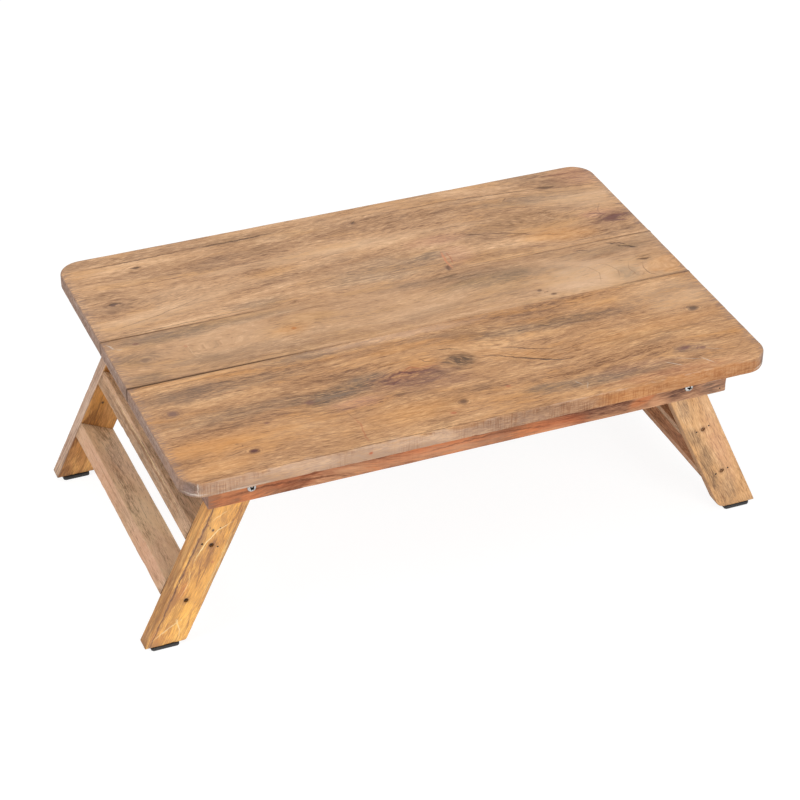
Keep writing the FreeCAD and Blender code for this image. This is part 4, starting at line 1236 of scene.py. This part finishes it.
def fasteners():
    """Pivot screws with their washers, the screws into the top and the rungs, and the nails beside them."""
    zinc = plain_material("zinc_steel", paint(176, 176, 174), paint(132, 132, 132), (0.25, 0.45), 1.0)
    dark = plain_material("dark_steel", paint(92, 66, 50), paint(128, 96, 72), (0.5, 0.75), 0.5)
    rusty = plain_material("rusty_steel", paint(186, 142, 106), paint(160, 116, 84), (0.6, 0.8), 0.1)
    nail = plain_material("nail_steel", paint(44, 30, 22), paint(66, 46, 34), (0.6, 0.85), 0.3)
    pivot = turned(pan_head(*PIVOT_HEAD, *PIVOT_SHANK), 56, PIVOT_RECESS)
    outer, height = WASHER
    eased = outer - WASHER_EDGE
    washer = turned([(WASHER_HOLE, height), (eased, height), (outer, height - WASHER_EDGE), (outer, WASHER_EDGE),
                     (eased, 0.0), (WASHER_HOLE, 0.0)], 48)
    rung_screw = turned(pan_head(*RUNG_SCREW_HEAD, *RUNG_SCREW_SHANK), 40, RUNG_SCREW_RECESS)
    top_screw = turned(pan_head(*TOP_SCREW_HEAD, *TOP_SCREW_SHANK), 44, TOP_SCREW_RECESS)
    tack = turned([(NAIL_HEAD[0] * s, NAIL_HEAD[1] * (1 - s * s)) for s in (0.05, 0.5, 0.8, 1.0)]
                  + [(NAIL_HEAD[0], -NAIL_DEPTH), (0.05, -NAIL_DEPTH)], 14)

    def fix(node, shape, places, material, body, replaced=True):
        points, faces, recess = scattered(shape, places)
        dress(node, points, faces, Matrix.Identity(4), material, body, {"spot": points}, {"recess": recess},
              sharp=35.0, replaced=replaced)

    for side_name, side in SIDES.items():
        body = f"{side_name}_leg_frame"
        heads, rings, screws, nails = [], [], [], []
        for face_name, face in FACES.items():
            out = (0, face, 0)
            heads.append(((side * PIVOT_X, face * (RAIL_FACE + 0.1), PIVOT_Z), out, 0.35 + side))
            rings.append(((side * PIVOT_X, face * LEG_OUTER, PIVOT_Z), out, 0))
            for drop in RUNG_DROPS.values():
                level = face * (LEG_OUTER - RUNG_SCREW_SINK - RUNG_SCREW_HEAD[1])
                screws.append((on_frame(side, drop, 0, level), out, drop))
                if (side_name, face_name, drop) == ("left", "front", RUNG_DROPS["lower"]):
                    continue
                for across in RUNG_NAILS_ACROSS[side_name]:
                    off = 1.2 * math.sin(drop + across + side)
                    nails.append((on_frame(side, drop + off, across, face * (LEG_OUTER - 0.2)), out, 0))
        if side_name == "left":
            nails.append((on_frame(side, *LONE_NAIL, -LEG_OUTER + 0.3), (0, -1, 0), 0))
        fix(f"{side_name}_pivot_screws", pivot, heads, zinc, body)
        fix(f"{side_name}_pivot_washers", washer, rings, zinc, body)
        fix(f"{side_name}_rung_screws", rung_screw, screws, dark if side < 0 else rusty, body)
        fix(f"{side_name}_rung_nails", tack, nails, nail, body, replaced=False)
    level = TOP_SCREW_LEVEL + TOP_SCREW_HEAD[1]
    places = [((x, face * RAIL_MIDDLE, level), (0, 0, -1), x) for x in SIDE_RAIL_SCREWS_X for face in FACES.values()]
    places += [((side * END_RAIL_MIDDLE, y, level), (0, 0, -1), y) for y in END_RAIL_SCREWS_Y
               for side in SIDES.values()]
    fix("top_screws", top_screw, places, zinc, "top")
    corners = [corner for corner in itertools.product(SIDES.values(), FACES.values()) if corner != (-1, -1)]
    places = [((side * END_RAIL_MIDDLE, face * (RAIL_FACE - NAIL_HEAD[1]), level), (0, face, 0), 0)
              for side, face in corners for level in RAIL_NAIL_LEVELS]
    fix("rail_nails", tack, places, nail, "top", replaced=False)


# Studio, in metres and degrees
FLOOR_HALF, FLOOR_GLOW, ROOM_LIGHT = 4.0, 0.88, 0.62
# Name, place, width and power of each lamp
LAMPS = (("front_lamp", (0.5, -2.8, 1.6), 2.2, 46.0), ("top_lamp", (0.4, 0.3, 3.0), 2.6, 5.0),
         ("left_lamp", (-2.4, -0.5, 2.2), 1.8, 26.0))
LAMP_AIM = (0, 0, 0.1)
LENS, CAMERA_PLACE = 111.09, (-0.82, -1.9173, 1.5176)
# Azimuth, elevation and roll
CAMERA_TURN = (-23.065, 34.012, 0.916)


def seen_rays(w, rays):
    """1 for the rays that show a surface to the camera, straight, mirrored or through glass."""
    bounced = w.math("MAXIMUM", rays["Is Glossy Ray"], rays["Is Transmission Ray"])
    return w.math("MAXIMUM", rays["Is Camera Ray"], bounced)


def studio():
    """A floor and room that show white, soft lamps, and the camera at the photograph's angle."""
    scene = bpy.context.scene
    scene.view_settings.view_transform = "Standard"
    half = FLOOR_HALF
    mesh = bpy.data.meshes.new("floor")
    mesh.from_pydata([(-half, -half, 0), (half, -half, 0), (half, half, 0), (-half, half, 0)], [], [(0, 1, 2, 3)])
    floor = bpy.data.objects.new("floor", mesh)
    scene.collection.objects.link(floor)
    material = bpy.data.materials.new("floor_paint")
    material.use_nodes = True
    tree = material.node_tree
    tree.nodes.clear()
    w = Wiring(tree)
    rays = w.add("ShaderNodeLightPath", {}).outputs
    seen = seen_rays(w, rays)
    grey = w.mix(rays["Is Camera Ray"], (0.88, 0.88, 0.88, 1.0), (0.2, 0.2, 0.2, 1.0))
    lit = w.add("ShaderNodeBsdfDiffuse", {"Color": grey}).outputs[0]
    glow = w.add("ShaderNodeEmission", {"Color": (1.0, 1.0, 1.0, 1.0), "Strength": w.times(seen, FLOOR_GLOW)})
    both = w.add("ShaderNodeAddShader", {0: lit, 1: glow.outputs[0]}).outputs[0]
    clear = w.add("ShaderNodeBsdfTransparent", {}).outputs[0]
    below = w.add("ShaderNodeNewGeometry", {}).outputs["Backfacing"]
    hidden = w.times(below, rays["Is Camera Ray"])
    mixed = w.add("ShaderNodeMixShader", {0: hidden, 1: both, 2: clear}).outputs[0]
    w.add("ShaderNodeOutputMaterial", {0: mixed})
    mesh.materials.append(material)

    world = bpy.data.worlds.new("studio")
    scene.world = world
    world.use_nodes = True
    w = Wiring(world.node_tree)
    rays = w.add("ShaderNodeLightPath", {}).outputs
    seen = seen_rays(w, rays)
    back = world.node_tree.nodes["Background"]
    back.inputs["Color"].default_value = (1.0, 1.0, 1.0, 1.0)
    w.feed(back.inputs["Strength"], w.math("MULTIPLY_ADD", seen, 1 - ROOM_LIGHT, ROOM_LIGHT))

    for name, place, size, power in LAMPS:
        lamp = bpy.data.lights.new(name, "AREA")
        lamp.shape, lamp.size, lamp.energy = "DISK", size, power
        lit = bpy.data.objects.new(name, lamp)
        lit.location = place
        lit.rotation_euler = (Vector(LAMP_AIM) - Vector(place)).to_track_quat("-Z", "Y").to_euler()
        scene.collection.objects.link(lit)

    view = bpy.data.cameras.new("camera")
    view.lens, view.sensor_width = LENS, 36.0
    view.clip_start, view.clip_end = 0.05, 40.0
    camera = bpy.data.objects.new("camera", view)
    scene.collection.objects.link(camera)
    azimuth, elevation, roll = (math.radians(a) for a in CAMERA_TURN)
    back = Vector((math.sin(azimuth) * math.cos(elevation), -math.cos(azimuth) * math.cos(elevation),
                   math.sin(elevation)))
    right = Vector((0, 0, 1)).cross(back).normalized()
    up = back.cross(right)
    turned_right = math.cos(roll) * right + math.sin(roll) * up
    turned_up = -math.sin(roll) * right + math.cos(roll) * up
    matrix = Matrix((turned_right, turned_up, back)).transposed().to_4x4()
    matrix.translation = CAMERA_PLACE
    camera.matrix_world = matrix
    scene.camera = camera


planks()
rails()
legs()
rungs()
foot_pads()
fasteners()
studio()
